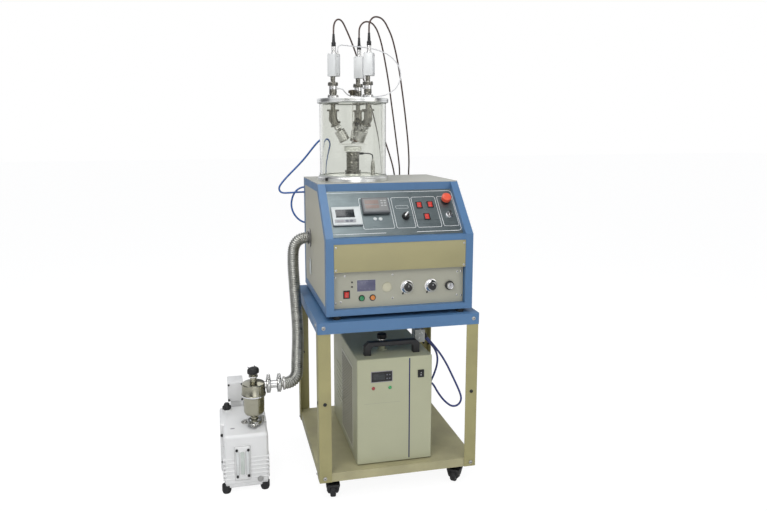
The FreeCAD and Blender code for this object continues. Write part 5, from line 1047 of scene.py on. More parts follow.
def gaugeMeter():
    high = gauge["height"]
    parts = [meterBody("gaugeCase", gauge["size"], high, "pale", 4)]
    x, y = gauge["glassAt"]
    wide, tall = gauge["glass"]
    frame = plate("glassFrame", (wide + 5, tall + 5), (x, y, high - 1.2), 1.1, "pale", 0.5)
    parts.append(inset(frame, above(), 1.6, -0.7))
    parts.append(plate("gaugeGlass", (wide, tall), (x, y, high - 0.9), 0.6, "screen", 0.2))
    parts.append(plate("keyStrip", (78, 15), (-9, gauge["keyRow"], high - 1.2), 0.7, "keyGrey", 0.3))
    for index, x in enumerate(gauge["keys"]):
        key = laid(ovalKey(13, 9, 1.2), at(x, gauge["keyRow"], high - 0.6))
        parts.append(coat(key, "keyDark" if index > 1 else "keyMid"))
    mounted(laid(joined("gaugeMeter", parts), desk @ at(*gauge["at"])), instead=("vacuum_gauge",))


heatControl = {"at": (-67, 150), "size": (100, 68), "height": 14, "keys": (24, 36)}


def heatController():
    high = heatControl["height"]
    parts = [meterBody("heatCase", heatControl["size"], high, "grey", 3.2)]
    parts.append(plate("heatFace", (92, 60), (0, 0, high - 1.1), 0.7, "faceGrey", 0.4))
    for y, tall in ((12, 18), (-9, 15)):
        parts.append(plate("heatDisplay", (52, tall), (-14, y, high - 0.6), 0.5, "dullRed", 0.3))
    key = slab("heatKey", (9, 5.5, 1.6), (0, 0, high), 0.7, 2, "keyPale")
    parts += repeated(key, [at(x, y) for x in heatControl["keys"] for y in (17, 6, -5)])
    lamp = coat(turned("heatLamp", [(1.3, 0), (1.3, 0.9), (0.8, 1.3)], 14), "dullRed")
    parts += repeated(lamp, [at(x, -18.5, high - 0.5) for x in (-34, -24, -14, -4)])
    mounted(laid(joined("heatController", parts), desk @ at(*heatControl["at"])),
            instead=("temperature_controller",))


# Switches. Bezels and collars stay with the machine, the moving halves ride on their own bodies

stopAt, selectorAt, keyAt = (210, 172), (40, 101), (208, 102)
startX, stopX, buttonRow = -140, -100, 34

rocker = {"width": 15.4, "length": 20.6, "fit": 1.2, "rim": 3.2, "height": 2.5, "sunk": 3, "tilt": 10}
rockers = {"rocker_1": (desk, 102, 152, "red"), "rocker_2": (desk, 145, 153, "red"),
           "rocker_3": (desk, 121, 98, "red"), "rf_rocker": (rack, -195, 50, "red"),
           "chiller_rocker": (chillerFront, 99, 332, "black")}


def rockerBezel():
    wide, tall = (rocker[side] + 2 * rocker["fit"] + 2 * rocker["rim"] for side in ("width", "length"))
    bezel = block("rockerBezel", (wide, tall, rocker["height"]), (0, 0, rocker["height"] / 2))
    rounded(bezel, 0.9, 3)
    inset(bezel, above(2), rocker["rim"] - 0.9, -7)
    return coat(bezel, "black")


def rockerPaddle(name, colour):
    # a plate with its middle drawn down, and a raised bar and ring moulded on its two halves
    half = rocker["length"] / 2
    paddle = block(name, (rocker["width"], rocker["length"], 6), (0, 0, 3.9))
    only(paddle)
    bpy.ops.object.mode_set(mode="EDIT")
    bpy.ops.mesh.select_all(action="SELECT")
    bpy.ops.mesh.bisect(plane_co=(0, 0, 0), plane_no=(0, 1, 0))
    bpy.ops.object.mode_set(mode="OBJECT")
    for vertex in paddle.data.vertices:
        if abs(vertex.co.y) < 0.0005 and vertex.co.z > 0.005:
            vertex.co.z = 5.2 * mm
    rounded(paddle, 0.7, 3, 20)
    coat(paddle, colour)
    bar = rounded(block("onBar", (1.3, 5, 0.6), (0, half * 0.52, 6.15)), 0.25, 2)
    ring = turned("offRing", [(1.7, 0), (2.5, 0), (2.5, 0.5), (1.7, 0.5), (1.7, 0)], 24, True)
    laid(ring, at(0, -half * 0.52, 5.85))
    mark = "ink" if colour == "black" else "dullRed"
    return joined(name, [paddle, coat(bar, mark), coat(ring, mark)])


def rockerSwitches():
    bezel = rockerBezel()
    bezels = repeated(bezel, [where @ at(x, y) for where, x, y, colour in rockers.values()])
    for name, (where, x, y, colour) in rockers.items():
        paddle = rockerPaddle(name.replace("_", ""), colour)
        laid(paddle, where @ at(x, y, -rocker["sunk"]) @ spin(rocker["tilt"], "X"))
        mounted(paddle, name + "_tip", (name,))
    return bezels


def collars():
    # dark collars under the stop button, selector, key, start and stop, and the bushes of the dials
    parts = []
    stop = turned("stopCollar", [(15, 0), (15, 7.6), (14.2, 8.8), (13, 9.4), (9.4, 9.4), (9.4, 6)], 40)
    parts.append(coat(laid(stop, desk @ at(*stopAt)), "black"))
    selector = turned("selectorCollar", [(14.5, 0), (14.5, 2.6), (13.6, 4), (4, 4)], 40)
    parts.append(coat(laid(selector, desk @ at(*selectorAt)), "black"))
    key = turned("keyCollar", [(13, 0), (13, 3.2), (12, 4.6), (9.6, 5), (8.2, 5), (8.2, 1.5)], 36)
    parts.append(coat(laid(key, desk @ at(*keyAt)), "chrome"))
    for x in (startX, stopX):
        ring = turned("buttonRing", [(11.5, 0), (11.5, 1.4), (10.4, 2.5), (8.8, 2.5), (8.8, -1)], 36)
        parts.append(coat(laid(ring, rack @ at(x, buttonRow)), "black"))
    for place in (*dials.values(), knobSpot):
        bush = turned("dialBush", [(8, 0), (8, 1.5), (7.4, 2), (3.2, 2)], 24)
        parts.append(coat(laid(bush, rack @ at(*place)), "bright"))
    for place in ((-76, 95), (-56, 94)):
        rim = turned("pilotRim", [
            (7, 0), (7, 1.2), (6.4, 1.9), (5.4, 1.9), (5.2, 1.2), (4.6, 2.6), (3, 3.3), (1.2, 3.5)], 32)
        parts.append(coat(laid(rim, desk @ at(*place)), "pale"))
    blank = turned("blankPlug", [
        (18, 0), (18, 1), (17, 2.2), (15.6, 2.5), (15, 2.2), (14, 2.9), (4, 3)], 48)
    parts.append(coat(laid(blank, rack @ at(-47, 69)), "cream"))
    return parts


def stopButton():
    steps = [
        (8.6, -3.5), (8.6, 14.4), (15.6, 14.4), (15.6, 6.4), (17.2, 5.8), (18, 7), (18, 19), (17.2, 21.6),
        (14, 23.4), (8, 24), (3, 24)]
    head = coat(turned("stopHead", steps, 48), "stopRed")
    # the three arrows are a darker copy of the button's red: painted shade in their grooves
    grooves = [coat(block("stopArrow", (9, 1, 0.5), (0, 0, 0)), "stopShade") for _ in range(3)]
    for index, groove in enumerate(grooves):
        laid(groove, spin(120 * index) @ at(0, 11.5, 23.75))
    mounted(laid(joined("stopButton", [head] + grooves), desk @ at(*stopAt)), "estop", ("estop_button",))


def selectorKnob():
    base = coat(turned("selectorBase", [(3, -5), (3, 4.3), (13, 4.3), (12.6, 6), (12, 12), (11, 13)], 40),
                "black")
    grip = rounded(block("selectorGrip", (7.4, 22, 8), (0, 0, 15.5)), 2.4, 4)
    pointer = rounded(block("selectorPointer", (3.4, 20, 1), (0, 0, 19.6)), 0.4, 2)
    laid(pointer, at(0, 0.8))
    whole = joined("selectorKnob", [base, coat(grip, "bright"), coat(pointer, "ink")])
    mounted(laid(whole, desk @ at(*selectorAt, 0, -40)), "selector", ("selector_knob",))


def keySwitch():
    barrel = coat(turned("keyBarrel", [(8, -11), (8, 5), (7.2, 6), (2, 6), (2, 5)], 32), "chrome")
    blade = coat(block("keyBlade", (1.6, 5, 6), (0, 0, 8.5)), "bright")
    bow = rounded(block("keyBow", (4.4, 15, 14), (0, 0, 18)), 1.6, 3)
    mounted(laid(joined("keySwitch", [barrel, blade, coat(bow, "black")]), desk @ at(*keyAt)), "key",
            ("key_switch",))


def pushButtons():
    for name, x, finish, body in (("rf_start_button", startX, "green", "rf_start"),
                                  ("rf_stop_button", stopX, "orange", "rf_stop")):
        cap = turned("pushCap", [(8.4, -8), (8.4, 4.8), (7.8, 5.8), (6.6, 6), (6.2, 5.5), (3, 5.8)], 32)
        mounted(laid(coat(cap, finish), rack @ at(x, buttonRow)), body, (name,))


# Generator dials: a chromed skirt, a black counting cap, and a small lock lever on the plate

dials = {"dial_1": (28, 66), "dial_2": (119, 66)}
knobSpot, knobRadius = (188, 64), 17


def gripped(name, radius, low, high, ribs, finish):  # a rim with fine ribs pressed round it
    rim = turned(name, [
        (radius - 1.2, low), (radius - 0.6, low + 0.6), (radius - 0.6, high - 1.4),
        (radius - 2, high)], 60)
    coat(rim, finish)
    rib = coat(block("gripRib", (1.2, 1.1, high - low - 2), (0, 0, (low + high) / 2 - 0.3)), finish)
    places = [spin(360 * step / ribs) @ at(radius - 0.7, 0) for step in range(ribs)]
    return [rim] + repeated(rib, places)


def countingDial(label, place):
    skirt = coat(turned("dialSkirt", [
        (3, -5.5), (3, 2.3), (21.4, 2.3), (22, 3), (22, 5.4), (20, 7.6), (16.4, 11),
        (15.6, 12.4)], 56), "chrome")
    ticks = [coat(block("dialTick", (0.5, 2.4, 0.4), (0, 0, 0)), "black") for _ in range(20)]
    for step, tick in enumerate(ticks):
        laid(tick, spin(360 * step / 20) @ at(0, 20, 7.5) @ spin(-48, "X"))
    grip = gripped("dialGrip", 13.4, 12, 22.2, 24, "black")
    mark = coat(block("dialMark", (1, 7, 0.4), (0, 7, 22.2)), "ink")
    whole = joined("countingDial", [skirt, mark] + ticks + grip)
    mounted(laid(whole, rack @ at(*place)), label, (f"rf_{label}",))


def powerKnob():
    skirt = gripped("knobSkirt", knobRadius, 2.3, 9, 30, "black")
    stem = coat(turned("knobStem", [(3, -5.5), (3, 3), (6, 3)], 24), "black")
    cap = turned("knobCap", [(12.6, 8.6), (12, 16.4), (11, 18), (9.6, 18.2), (9, 17.6), (3, 17.6)], 48)
    mark = slab("knobMark", (2, 12, 1.2), (0, 5.5, 18), 0.4, 2, "black")
    mounted(laid(joined("powerKnob", skirt + [stem, coat(cap, "chrome"), mark]), rack @ at(*knobSpot)),
            "power_knob", ("rf_knob",))


def frontFace():
    parts = []
    screw = screwHead(3.4, 1.6)
    places = [rack @ at(x, y) for x, y in (
        (-235.5, 112.5), (-234.5, 20), (-201, 117), (234, 114), (218, 113.5), (218, 26), (235, 24),
        (-26.5, 113.6), (-26.5, 29), (-216, 24))]
    filler = face((7.5, -268.5, 840), turn(90))
    places += [filler @ at(x, y) for x, y in ((-235, 88), (236, 88), (-235, 8), (236, 8))]
    sheet = rounded(block("fillerSheet", (485, 99.4, 2.2), (0, 50, -0.9)), 0.5, 2)
    parts.append(coat(laid(sheet, filler), "filler"))
    parts += repeated(screw, places)
    glass = rounded(block("rackGlass", (66, 40, 2.4), (-123, 79, -0.6)), 0.4, 2)
    parts.append(coat(laid(glass, rack), "violet"))
    edge = inkLine(roundPath(-157, 58, -89, 100, 1.4, 2), 1.2)
    parts.append(coat(laid(edge, rack), "keyPale"))
    for place in ((-175, 93.6), (-175.2, 76.7)):
        lamp = turned("rackLamp", [
            (3.2, 0), (3.2, 0.7), (2.6, 1.1), (2.4, 2.4), (1.6, 3.2), (0.6, 3.5)], 20)
        parts.append(coat(laid(lamp, rack @ at(*place)), "black"))
    for place in dials.values():
        plate = turned("dialPlate", [(24.5, 0), (24.5, 0.7), (24, 1), (10, 1)], 56)
        parts.append(coat(laid(plate, rack @ at(*place)), "bright"))
        lever = rounded(block("lockLever", (3.6, 8, 2.6), (0, 0, 2.6)), 1.1, 3)
        foot = turned("leverFoot", [(3, 0), (3, 1.8), (2.4, 2.4)], 20)
        lever = coat(joined("lockLever", [lever, foot]), "matt")
        parts.append(laid(lever, rack @ at(place[0] - 15.5, place[1] - 23, 0, -32)))
    mounted(joined("frontFace", parts))


def socketPlate():  # a pale cover plate low on the cabinet's left side
    side = facing((-263.5, 111, 789), (0, -1, 0), (0, 0, 1))
    cover = rounded(block("coverPlate", (38, 62, 2.6), (0, 0, 1.3)), 1.4, 3)
    inset(coat(cover, "pale"), above(2), 4, -0.7)
    screws = repeated(screwHead(2.2, 1.2), [at(-14, 25.5, 2), at(14, 25.5, 2), at(0, -25.5, 2)])
    mounted(laid(joined("coverPlate", [cover] + screws), side))


printedPanel()
gaugeMeter()
heatController()
mounted(joined("switchBezels", rockerSwitches() + collars()), instead=("switch_bezels",))
stopButton()
selectorKnob()
keySwitch()
pushButtons()
for label, place in dials.items():
    countingDial(label, place)
powerKnob()
frontFace()
socketPlate()
print("panels and controls made")

# Trolley: domed bolts, black rivet nuts in the leg holes whose sleeves are painted shade inside the legs,
# and castors

trolley = {"bolt": 5.2, "head": 3, "tableBolt": 650, "shelfBolt": 90, "setIn": (22, 42), "hole": 370,
           "holeIn": 24.5}
castors = {"inset": (242, 233), "trail": 22, "axle": 25, "wheel": 25, "width": 20}


def sideFaces():  # the four upright sides of the trolley, each with how far its corners are
    rise = (0, 0, 1)
    return ((facing((0, -291, 0), (1, 0, 0), rise), 300), (facing((0, 291, 0), (-1, 0, 0), rise), 300),
            (facing((-300, 0, 0), (0, -1, 0), rise), 291), (facing((300, 0, 0), (0, 1, 0), rise), 291))


def trolleyBolts():
    size, tall = trolley["bolt"], trolley["head"]
    bolt = turned("domeBolt", [
        (7, 0), (7, 0.6), (6.6, 0.9), (size, 0.9), (size * 0.94, 1.8), (size * 0.7, tall - 0.2),
        (size * 0.45, tall + 0.3), (2, tall + 0.4)], 28)
    # a black hexagon on top of the dome: painted shade in the bolt's socket
    socket = coat(drum("boltSocketShade", 2, 0.5, tall + 0.1, 6), "black")
    bolt = joined("domeBolt", [coat(bolt, "zinc"), socket])
    # a black rivet nut with a sleeve into the leg's hole: painted shade, so the hole reads as dark as the
    # inside of the leg
    nut = turned("holeShadeNut", [
        (6.8, 0), (6.8, 0.8), (6, 1.3), (4.6, 1.3), (4.5, -9), (4.5, -9.1), (0.5, -9.1)], 28)
    coat(nut, "black")
    boltPlaces, holeShadePlaces = [], []
    for index, (side, reach) in enumerate(sideFaces()):
        setIn = trolley["setIn"][0 if index < 2 else 1]
        for way in (-1, 1):
            boltPlaces += [side @ at(way * (reach - setIn), trolley[level])
                           for level in ("tableBolt", "shelfBolt")]
            holeShadePlaces.append(side @ at(way * (reach - trolley["holeIn"]), trolley["hole"], -2))
    mounted(joined("trolleyBolts", repeated(bolt, boltPlaces)))
    mounted(joined("holeShadeNuts", repeated(nut, holeShadePlaces)))


def castorWheel():
    half = castors["width"] / 2
    tyre = turned("tyre", [
        (16, -half + 1), (22, -half), (24.2, -half + 1.6), (25, -half + 4.5), (25, half - 4.5),
        (24.2, half - 1.6), (22, half), (16, half - 1)], 56, True)
    coat(tyre, "rubber")
    hub = turned("wheelHub", [
        (16.2, -half + 1.4), (14, -half + 2.4), (7, -half + 3.4), (6.4, -half + 0.4), (3.1, -half + 0.2),
        (3.1, half - 0.2), (6.4, half - 0.4), (7, half - 3.4), (14, half - 2.4),
        (16.2, half - 1.4)], 48, True)
    return joined("castorWheel", [tyre, coat(hub, "grey")])


def castorHood():  # a cowl over the wheel, drawn in below and slotted for it, under a swivel ring
    ring = turned("swivelRing", [
        (17, 67.6), (25, 67.2), (27.4, 65), (27.6, 60), (25, 55), (20, 52.4), (17, 52.4),
        (17, 67.6)], 48, True)
    cowl = block("castorCowl", (60, 54, 38), (13, 0, 34))
    only(cowl)
    bpy.ops.object.mode_set(mode="EDIT")
    bpy.ops.mesh.select_mode(type="VERT")
    bpy.ops.mesh.select_all(action="DESELECT")
    mesh = bmesh.from_edit_mesh(cowl.data)
    for vertex in mesh.verts:
        vertex.select_set(vertex.co.z < 0.03)
    bmesh.update_edit_mesh(cowl.data)
    bpy.ops.transform.resize(value=(0.66, 0.72, 1), center_override=(castors["trail"] * mm, 0, 0.015))
    bpy.ops.object.mode_set(mode="OBJECT")
    rounded(cowl, 7, 4)
    slot = drum("wheelSlot", castors["wheel"] + 1.6, castors["width"] + 3, -castors["width"] / 2 - 1.5, 48)
    laid(slot, at(castors["trail"], 0, castors["axle"]) @ aboutX)
    finishedWith(cowl, "BOOLEAN", operation="DIFFERENCE", object=slot, solver="EXACT")
    bpy.data.objects.remove(slot)
    parts = [coat(ring, "castor"), coat(cowl, "castor")]
    for side in (-1, 1):
        cap = turned("axleCap", [(6, 0), (6, 2), (4.6, 3), (1.6, 3.2)], 6)
        laid(cap, at(castors["trail"], side * 19.5, castors["axle"]) @ spin(-90 * side, "X"))
        parts.append(coat(cap, "castor"))
    return joined("castorHood", parts)


def middleOf(node):
    corners = [node.matrix_world @ Vector(corner) for corner in node.bound_box]
    return sum(corners, Vector()) / 8


def castorSets():
    wheel, hood = castorWheel(), castorHood()
    for name in ("front_left", "front_right", "rear_left", "rear_right"):
        x = castors["inset"][0] * (-1 if "left" in name else 1)
        y = castors["inset"][1] * (-1 if "front" in name else 1)
        pin = spot(x, y, 0)
        away = middleOf(nodes[f"caster_wheel_{name}"]) - pin
        swing = Matrix.Translation(pin) @ Matrix.Rotation(math.atan2(away.y, away.x), 4, "Z")
        place = swing @ at(castors["trail"], 0, castors["axle"]) @ aboutX
        mounted(copied(wheel, place), f"{name}_wheel", (f"caster_wheel_{name}",))
        mounted(copied(hood, swing), f"{name}_castor")
    bpy.data.objects.remove(wheel)
    bpy.data.objects.remove(hood)


# Chiller: display, lamps, corner strip, side grille, filler cap and tube nuts

chiller = {"display": (-50, 332, 78, 38), "strip": 55.5, "top": 400, "red": (-81.5, 289),
           "green": (-19, 288)}


def chillerFace():
    x, y, wide, tall = chiller["display"]
    rim = rounded(block("displayRim", (wide + 4, tall + 4, 2.4), (x, y, 0)), 0.8, 2)
    inset(coat(rim, "keyMid"), above(0.5), 1.4, -1.2)
    parts = [rim, plate("displayFace", (wide - 1, tall - 1), (x, y, 0), 0.5, "black", 0.2)]
    parts.append(plate("displayGlass", (44, 22), (x - 10, y - 1, 0.3), 0.6, "screen", 0.2))
    key = slab("chillerKey", (5, 3.6, 1.4), (0, 0, 0.9), 0.6, 2, "keyDark")
    parts += repeated(key, [at(x + dx, y + dy) for dx in (20, 30) for dy in (-8, 6)])
    for name, (lampX, lampY), finish in (("redLamp", chiller["red"], "lampRed"),
                                         ("greenLamp", chiller["green"], "lampGreen")):
        rim = turned(name + "Rim", [(6.4, 0), (6.4, 1), (5.6, 1.6), (4.9, 1.6), (4.9, 0.6)], 28)
        lens = turned(name, [(4.8, 0), (4.8, 1.8), (4, 3), (2.4, 3.8), (0.8, 4)], 24)
        parts += [coat(laid(rim, at(lampX, lampY)), finish), coat(laid(lens, at(lampX, lampY)), finish)]
    strip = block("navyStrip", (5, chiller["top"] - 12, 2.2), (chiller["strip"], chiller["top"] / 2, -0.7))
    parts.append(coat(rounded(strip, 0.6, 2), "navy"))
    # a darker line across the front where it is folded: painted shade in the crease
    crease = inkLine([(-117, 231), (20, 231)], 1.2, False)
    parts.append(coat(crease, "crease"))
    mounted(laid(joined("chillerFace", parts), chillerFront))


def chillerSide():  # a raised, louvred cover on the left side
    side = facing((-152, -75, 300), (0, -1, 0), (0, 0, 1))
    cover = rounded(block("sideCover", (218, 330, 2.4), (0, 0, 0.2)), 1, 3)
    inset(coat(cover, "chillerPale"), above(0.5), 7, -1)
    slat = block("coverSlat", (196, 5, 2.6), (0, 0, 1.2))
    laid(rounded(slat, 1, 2), spin(22, "X"))
    slats = repeated(coat(slat, "chillerSlat"), [at(0, -146 + 11.7 * step) for step in range(26)])
    back = plate("coverBack", (204, 316), (0, 0, 0), 0.6, "chillerSlat", 0.2)
    mounted(laid(joined("sideCover", [cover, back] + slats), side))


def fillerCap():
    lower = turned("capCollar", [(13.4, 24.3), (14, 25), (14, 41), (13.2, 42)], 40)
    upper = gripped("capTop", 18, 42, 60, 28, "black")
    top = coat(turned("capCrown", [(16.4, 59), (15, 60), (11, 60), (10.4, 59.2), (3, 59.2)], 40), "black")
    whole = joined("fillerCap", [coat(lower, "bright"), top] + upper)
    mounted(laid(whole, stand(-33, -150, 511)), "filler_cap", ("chiller_cap",))


def chillerDuct():  # the pale block under the table, and the nuts at both ends of the tubes
    body = rounded(block("flowBlock", (38.8, 48.8, 48.8), (127, -100, 542)), 3, 3)
    laid(coat(body, "resin"), stand(0, 0, 0))
    nut = turned("tubeNut", [
        (4.3, -2), (8, -2), (8.4, -1), (8.4, 7), (7.4, 8), (6.4, 8), (6.4, 15), (5.6, 16), (4.3, 16),
        (4.3, -2)], 24, True)
    coat(nut, "black")
    places = []
    for name in ("longTube", "shortTube"):
        points = [spot(*point) for point in cords[name]["points"]]
        for first, second, lead in ((points[0], points[1], -6), (points[-1], points[-2], 0)):
            way = (second - first).to_track_quat("Z", "Y").to_matrix().to_4x4()
            places.append(Matrix.Translation(first) @ way @ at(0, 0, lead))
    mounted(joined("flowBlock", [body] + repeated(nut, places)))


# Pump: a ribbed white casting with a sight glass, motor and terminal box, then the trap on top

pump = {"x": -554.5, "front": -160, "length": 270, "top": 225, "base": 30, "ribs": 6, "rib": 56,
        "pitch": 15.6, "glass": (-565, 118), "flange": -52, "motorHigh": 118}


def pumpCase():
    x, y = pump["x"], pump["front"] + pump["length"] / 2
    tall = pump["top"] - pump["base"]
    case = block("pumpCase", (164, pump["length"] - 1, tall), (x + 4, y, pump["base"] + tall / 2))
    rounded(case, 13, 6)
    middle = (x - 0.5, pump["flange"] + 80, pump["base"] + tall / 2)
    body = rounded(block("pumpBody", (177, 160, tall - 1.4), middle), 8, 4)
    foot = block("pumpFoot", (156, pump["length"] - 8, 28), (x + 4, y, pump["base"] + 4))
    parts = [case, body, rounded(foot, 5, 3)]
    rib = rounded(block("pumpRib", (171, pump["length"] + 2, 7.8), (x + 2.5, y, 0)), 3, 4)
    parts += repeated(rib, [at(0, 0, pump["rib"] + pump["pitch"] * step) for step in range(pump["ribs"])])
    for piece in parts:
        laid(coat(piece, "pump"), stand(0, 0, 0))
    screw = coat(turned("flangeScrew", [(5.2, 0), (5.2, 5), (4.4, 6.4), (2, 6.6)], 20), "black")
    flange = face((-637.5, pump["flange"], 0), turn(90))
    parts += repeated(screw, [flange @ at(0, 182), flange @ at(0.6, 74)])
    top = stand(0, 0, pump["top"])
    oval = coat(laid(ovalKey(17, 8, 1.2), top @ at(-597, -97)), "keyMid")
    plug = turned("fillPlug", [(15, 0), (15, 3), (14, 4), (9, 4), (9, 7), (8, 8), (3, 8)], 32)
    plug = coat(laid(plug, top @ at(-548, -52)), "zinc")
    stub = turned("pumpStub", [(7, 0), (7, 9), (9, 10), (9, 19), (8, 20), (3, 20)], 24)
    return parts + [oval, plug, coat(laid(stub, top @ at(-484, -52)), "zinc")]


def sightGlass():
    x, z = pump["glass"]
    front = face((x, pump["front"], z), turn(90))
    rim = rounded(block("glassRim", (60, 136, 4), (0, 0, 1)), 3, 3)
    inset(coat(rim, "pump"), above(2), 3, -0.8)
    body = rounded(block("glassPlate", (50, 126, 6), (0, 0, 3.2)), 2, 3)
    parts = [rim, coat(body, "pump")]
    for dx, wide, finish in ((-18, 8, "glassPale"), (0, 15, "sightGrey"), (18, 8, "glassPale")):
        window = rounded(block("sightWindow", (wide, 88, 1.6), (dx, 1, 6.2)), 0.7, 2)
        parts.append(coat(window, finish))
    slot = inkLine(roundPath(-9.5, -47, 9.5, 49, 9.4), 3)
    parts.append(coat(laid(slot, at(0, 0, 6.4) @ Matrix.Diagonal((1, 1, 3, 1))), "pump"))
    for corners, high in (((-28.6, -66.4, 28.6, 66.4), 2.9), ((-24, -45, -12, 47), 6.3),
                          ((12, -45, 24, 47), 6.3)):
        line = inkLine(roundPath(*corners, 2.4), 1.3)
        parts.append(coat(laid(line, at(0, 0, high)), "drainGrey"))
    screw = turned("plateScrew", [(5, 0), (5, 3.4), (4.2, 4.4), (2.4, 4.4), (2.3, 2)], 24)
    places = [at(x, y, 5.6) for x, y in ((-20.5, 53), (21.5, 51), (-19.5, -50), (21.5, -50))]
    parts += repeated(coat(screw, "black"), places)
    drain = turned("drainPlug", [(11, 0), (11, 3), (10, 4), (9, 4), (9, 6.5), (8, 7.8), (3, 8)], 24)
    parts.append(coat(laid(drain, at(64, -70)), "drainGrey"))
    return [laid(piece, front) for piece in parts]


def pumpMotor():
    behind = pump["front"] + pump["length"]
    axis = stand(pump["x"], behind, pump["motorHigh"]) @ spin(-90, "X")
    shell = turned("motorShell", [
        (70, -2), (74, 4), (74, 108), (76, 110), (78, 112), (78, 140), (76, 146), (70, 150),
        (20, 150)], 64)
    fin = rounded(block("motorFin", (4.6, 3, 100), (73.6, 0, 57)), 1, 2)
    fins = repeated(coat(fin, "pump"), [spin(12 * step) for step in range(30)])
    # the fan cover's slots are black bars laid on its end: painted shade where the openings are
    slot = coat(block("fanSlotShade", (1.6, 26, 1.2), (0, 42, 150)), "matt")
    fins += repeated(slot, [spin(20 * step) for step in range(18)])
    parts = [laid(piece, axis) for piece in [coat(shell, "pump")] + fins]
    boxX, boxY = -578.5, behind + 42
    box = rounded(block("terminalBox", (62, 80, 79), (boxX, boxY, 281.5)), 3, 3)
    lid = rounded(block("terminalLid", (58, 76, 3), (boxX, boxY, 320)), 1, 2)
    neck = block("terminalNeck", (40, 60, 60), (boxX, boxY, 214))
    foot = block("motorCradle", (90, 50, 44), (pump["x"], behind + 75, 22))
    for piece in (box, lid, neck, rounded(foot, 3, 2)):
        parts.append(laid(coat(piece, "pump"), stand(0, 0, 0)))
    screw = coat(turned("boxScrew", [(4, 0), (4, 3), (3, 4), (1.4, 4)], 18), "black")
    front = face((boxX, behind + 2, 242), turn(90))
    parts += repeated(screw, [front @ at(x, y) for x, y in ((-26, 72), (26, 72), (-26, 8), (26, 8))])
    return parts


def ballast():
    seat = turned("ballastSeat", [(21, 0), (21, 1.4), (20, 2), (20, 3), (19, 4), (4.2, 4)], 48)
    flange = turned("pumpInlet", [(16, -1), (16, 8), (20, 9), (20, 14)], 40)
    where = stand(-615, 78, pump["top"])
    knob = turned("ballastKnob", [
        (3.9, 0.4), (15, 4.4), (16, 8), (15.4, 12), (13, 17), (11.4, 23), (9, 28), (4, 29)], 40)
    lobe = turned("knobLobe", [(3.6, 4.6), (4.6, 7), (4.2, 13), (3, 18)], 16)
    lobes = repeated(lobe, [spin(60 * step) @ at(13.2, 0) for step in range(6)])
    for piece in [knob] + lobes:
        coat(piece, "black")
    mounted(laid(joined("ballastKnob", [knob] + lobes), where), "ballast", ("pump_ballast_knob",))
    return [laid(coat(seat, "pump"), where),
            laid(coat(flange, "zinc"), stand(*trapMiddle, pump["top"]))]


def inletTrap():
    where = stand(*trapMiddle, 0)
    can = turned("trapCan", [
        (12.8, 240), (12.8, 258), (20, 264), (33, 272), (37, 278), (38.6, 284), (39.6, 333), (40, 338),
        (41, 341), (44.4, 343), (45.8, 344.6), (46, 350.6), (44.6, 352), (44, 353), (44, 386),
        (43.4, 389.4), (41, 392), (26, 396), (14, 397.4), (12, 397.6), (12, 401), (14.6, 401.6),
        (14.6, 405), (12, 405.6), (12, 414.6), (17, 415), (17.6, 416), (17.6, 420), (17, 421), (8.2, 421),
        (8, 424)], 72)
    band = turned("trapBand", [(46.04, 345.4), (46.04, 349.8)], 72, True)
    low = turned("trapFlange", [(20, 239), (20, 243.6), (16.4, 245), (12.9, 245)], 40)
    disc = turned("trapDisc", [(17.64, 416.2), (17.64, 419.8)], 48, True)
    parts = [coat(can, "trap"), coat(band, "chrome"), coat(low, "bright"), coat(disc, "chrome")]
    tube = turned("sidePort", [
        (13, 40), (13, 50), (20, 52), (20, 58.6), (14, 59), (14, 92), (20, 93), (20, 98.6)], 40)
    laid(tube, at(0, 0, 380) @ spin(90, "Y"))
    parts.append(coat(tube, "bright"))
    mounted(laid(joined("inletTrap", parts), where), instead=("inlet_trap",))
    knob = turned("trapKnob", [
        (8, 0.4), (15, 2), (21.4, 5.4), (23, 9), (23, 18), (21, 23.5), (16, 27), (8, 28.6), (3, 29)], 40)
    laid(knob, Matrix.Diagonal((1, 0.76, 1, 1)))
    groove = [coat(block("knobGroove", (2.2, 40, 2), (x, 0, 25.6)), "matt") for x in (-13, 13)]
    whole = joined("trapKnob", [coat(knob, "black")] + groove)
    mounted(laid(whole, stand(*trapMiddle, 424) @ spin(20)), "trap_valve", ("trap_knob",))


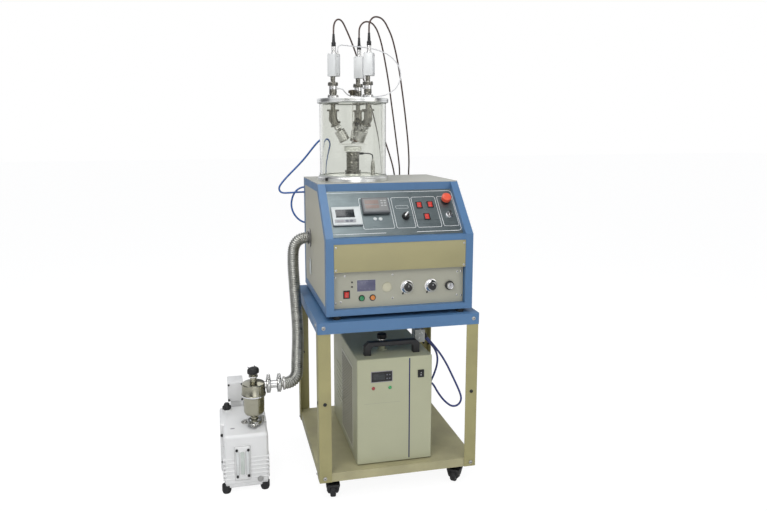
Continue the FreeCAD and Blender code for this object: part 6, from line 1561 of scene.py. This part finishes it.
def clampMaster():
    ring = turned("clampRing", [
        (20.4, -8), (25, -8), (27.4, -6.4), (28, -4.4), (28, 4.4), (27.4, 6.4), (25, 8), (20.4, 8),
        (20.4, -8)], 48, True)
    parts = [coat(ring, "clamp")]
    for side in (-1, 1):
        ear = rounded(block("clampEar", (13, 6.6, 13), (31, side * 4.6, 0)), 1.6, 3)
        parts.append(coat(ear, "clamp"))
    hinge = rounded(block("clampHinge", (7, 13, 14), (-28.6, 0, 0)), 2.4, 3)
    parts.append(coat(hinge, "clamp"))
    rod = coat(laid(drum("clampRod", 2.5, 34, 0, 16), at(32, 22) @ aboutX), "bright")
    parts.append(rod)
    boss = turned("wingBoss", [(5.4, 0), (5.4, 3), (4, 10), (3, 11)], 20)
    laid(boss, at(32, 9) @ spin(-90, "X"))
    parts.append(coat(boss, "bright"))
    for side in (-1, 1):
        wing = rounded(block("wingBlade", (15, 9, 3), (0, 0, 0)), 1.3, 3)
        laid(wing, at(32 + side * 8.6, 17) @ spin(side * -32))
        parts.append(coat(wing, "bright"))
    return joined("clamp", parts)


def clamps():
    port = stand(*trapMiddle, 380)
    places = [port @ at(reach, 0) @ spin(90, "Y") @ spin(180) for reach in (56, 96)]
    places.append(stand(*trapMiddle, 239) @ spin(-120))
    cuff = turned("hoseCuff", [
        (20, 0.2), (20, 6), (13, 8), (13, 10), (21, 11), (25.4, 12), (25.6, 15), (25, 19), (22, 19)], 48)
    laid(coat(cuff, "steel"), port @ at(99, 0) @ spin(90, "Y"))
    mounted(joined("clamps", repeated(clampMaster(), places) + [cuff]), instead=("kf_clamps",))


def hoseCollar():  # the flanged sleeve that the hose leaves the cabinet by
    where = stand(-263, 118, 905) @ spin(-90, "Y")
    sleeve = turned("hoseSleeve", [
        (37, 0.2), (37, 1.4), (36, 2.4), (30, 3), (27.6, 4), (26.6, 9), (24.6, 9.4)], 56)
    ring = coat(laid(sleeve, where), "matt")
    screws = [coat(laid(screwHead(2.4, 1.2), where @ spin(45 + 90 * step) @ at(33.4, 0, 2.2)),
                   "bright") for step in range(4)]
    mounted(joined("hoseSleeve", [ring] + screws))


trolleyBolts()
castorSets()
chillerFace()
chillerSide()
fillerCap()
chillerDuct()
mounted(joined("pumpBody", pumpCase() + sightGlass() + pumpMotor() + ballast()), instead=("pump_housing",))
inletTrap()
clamps()
hoseCollar()
print("trolley, chiller and pump made")
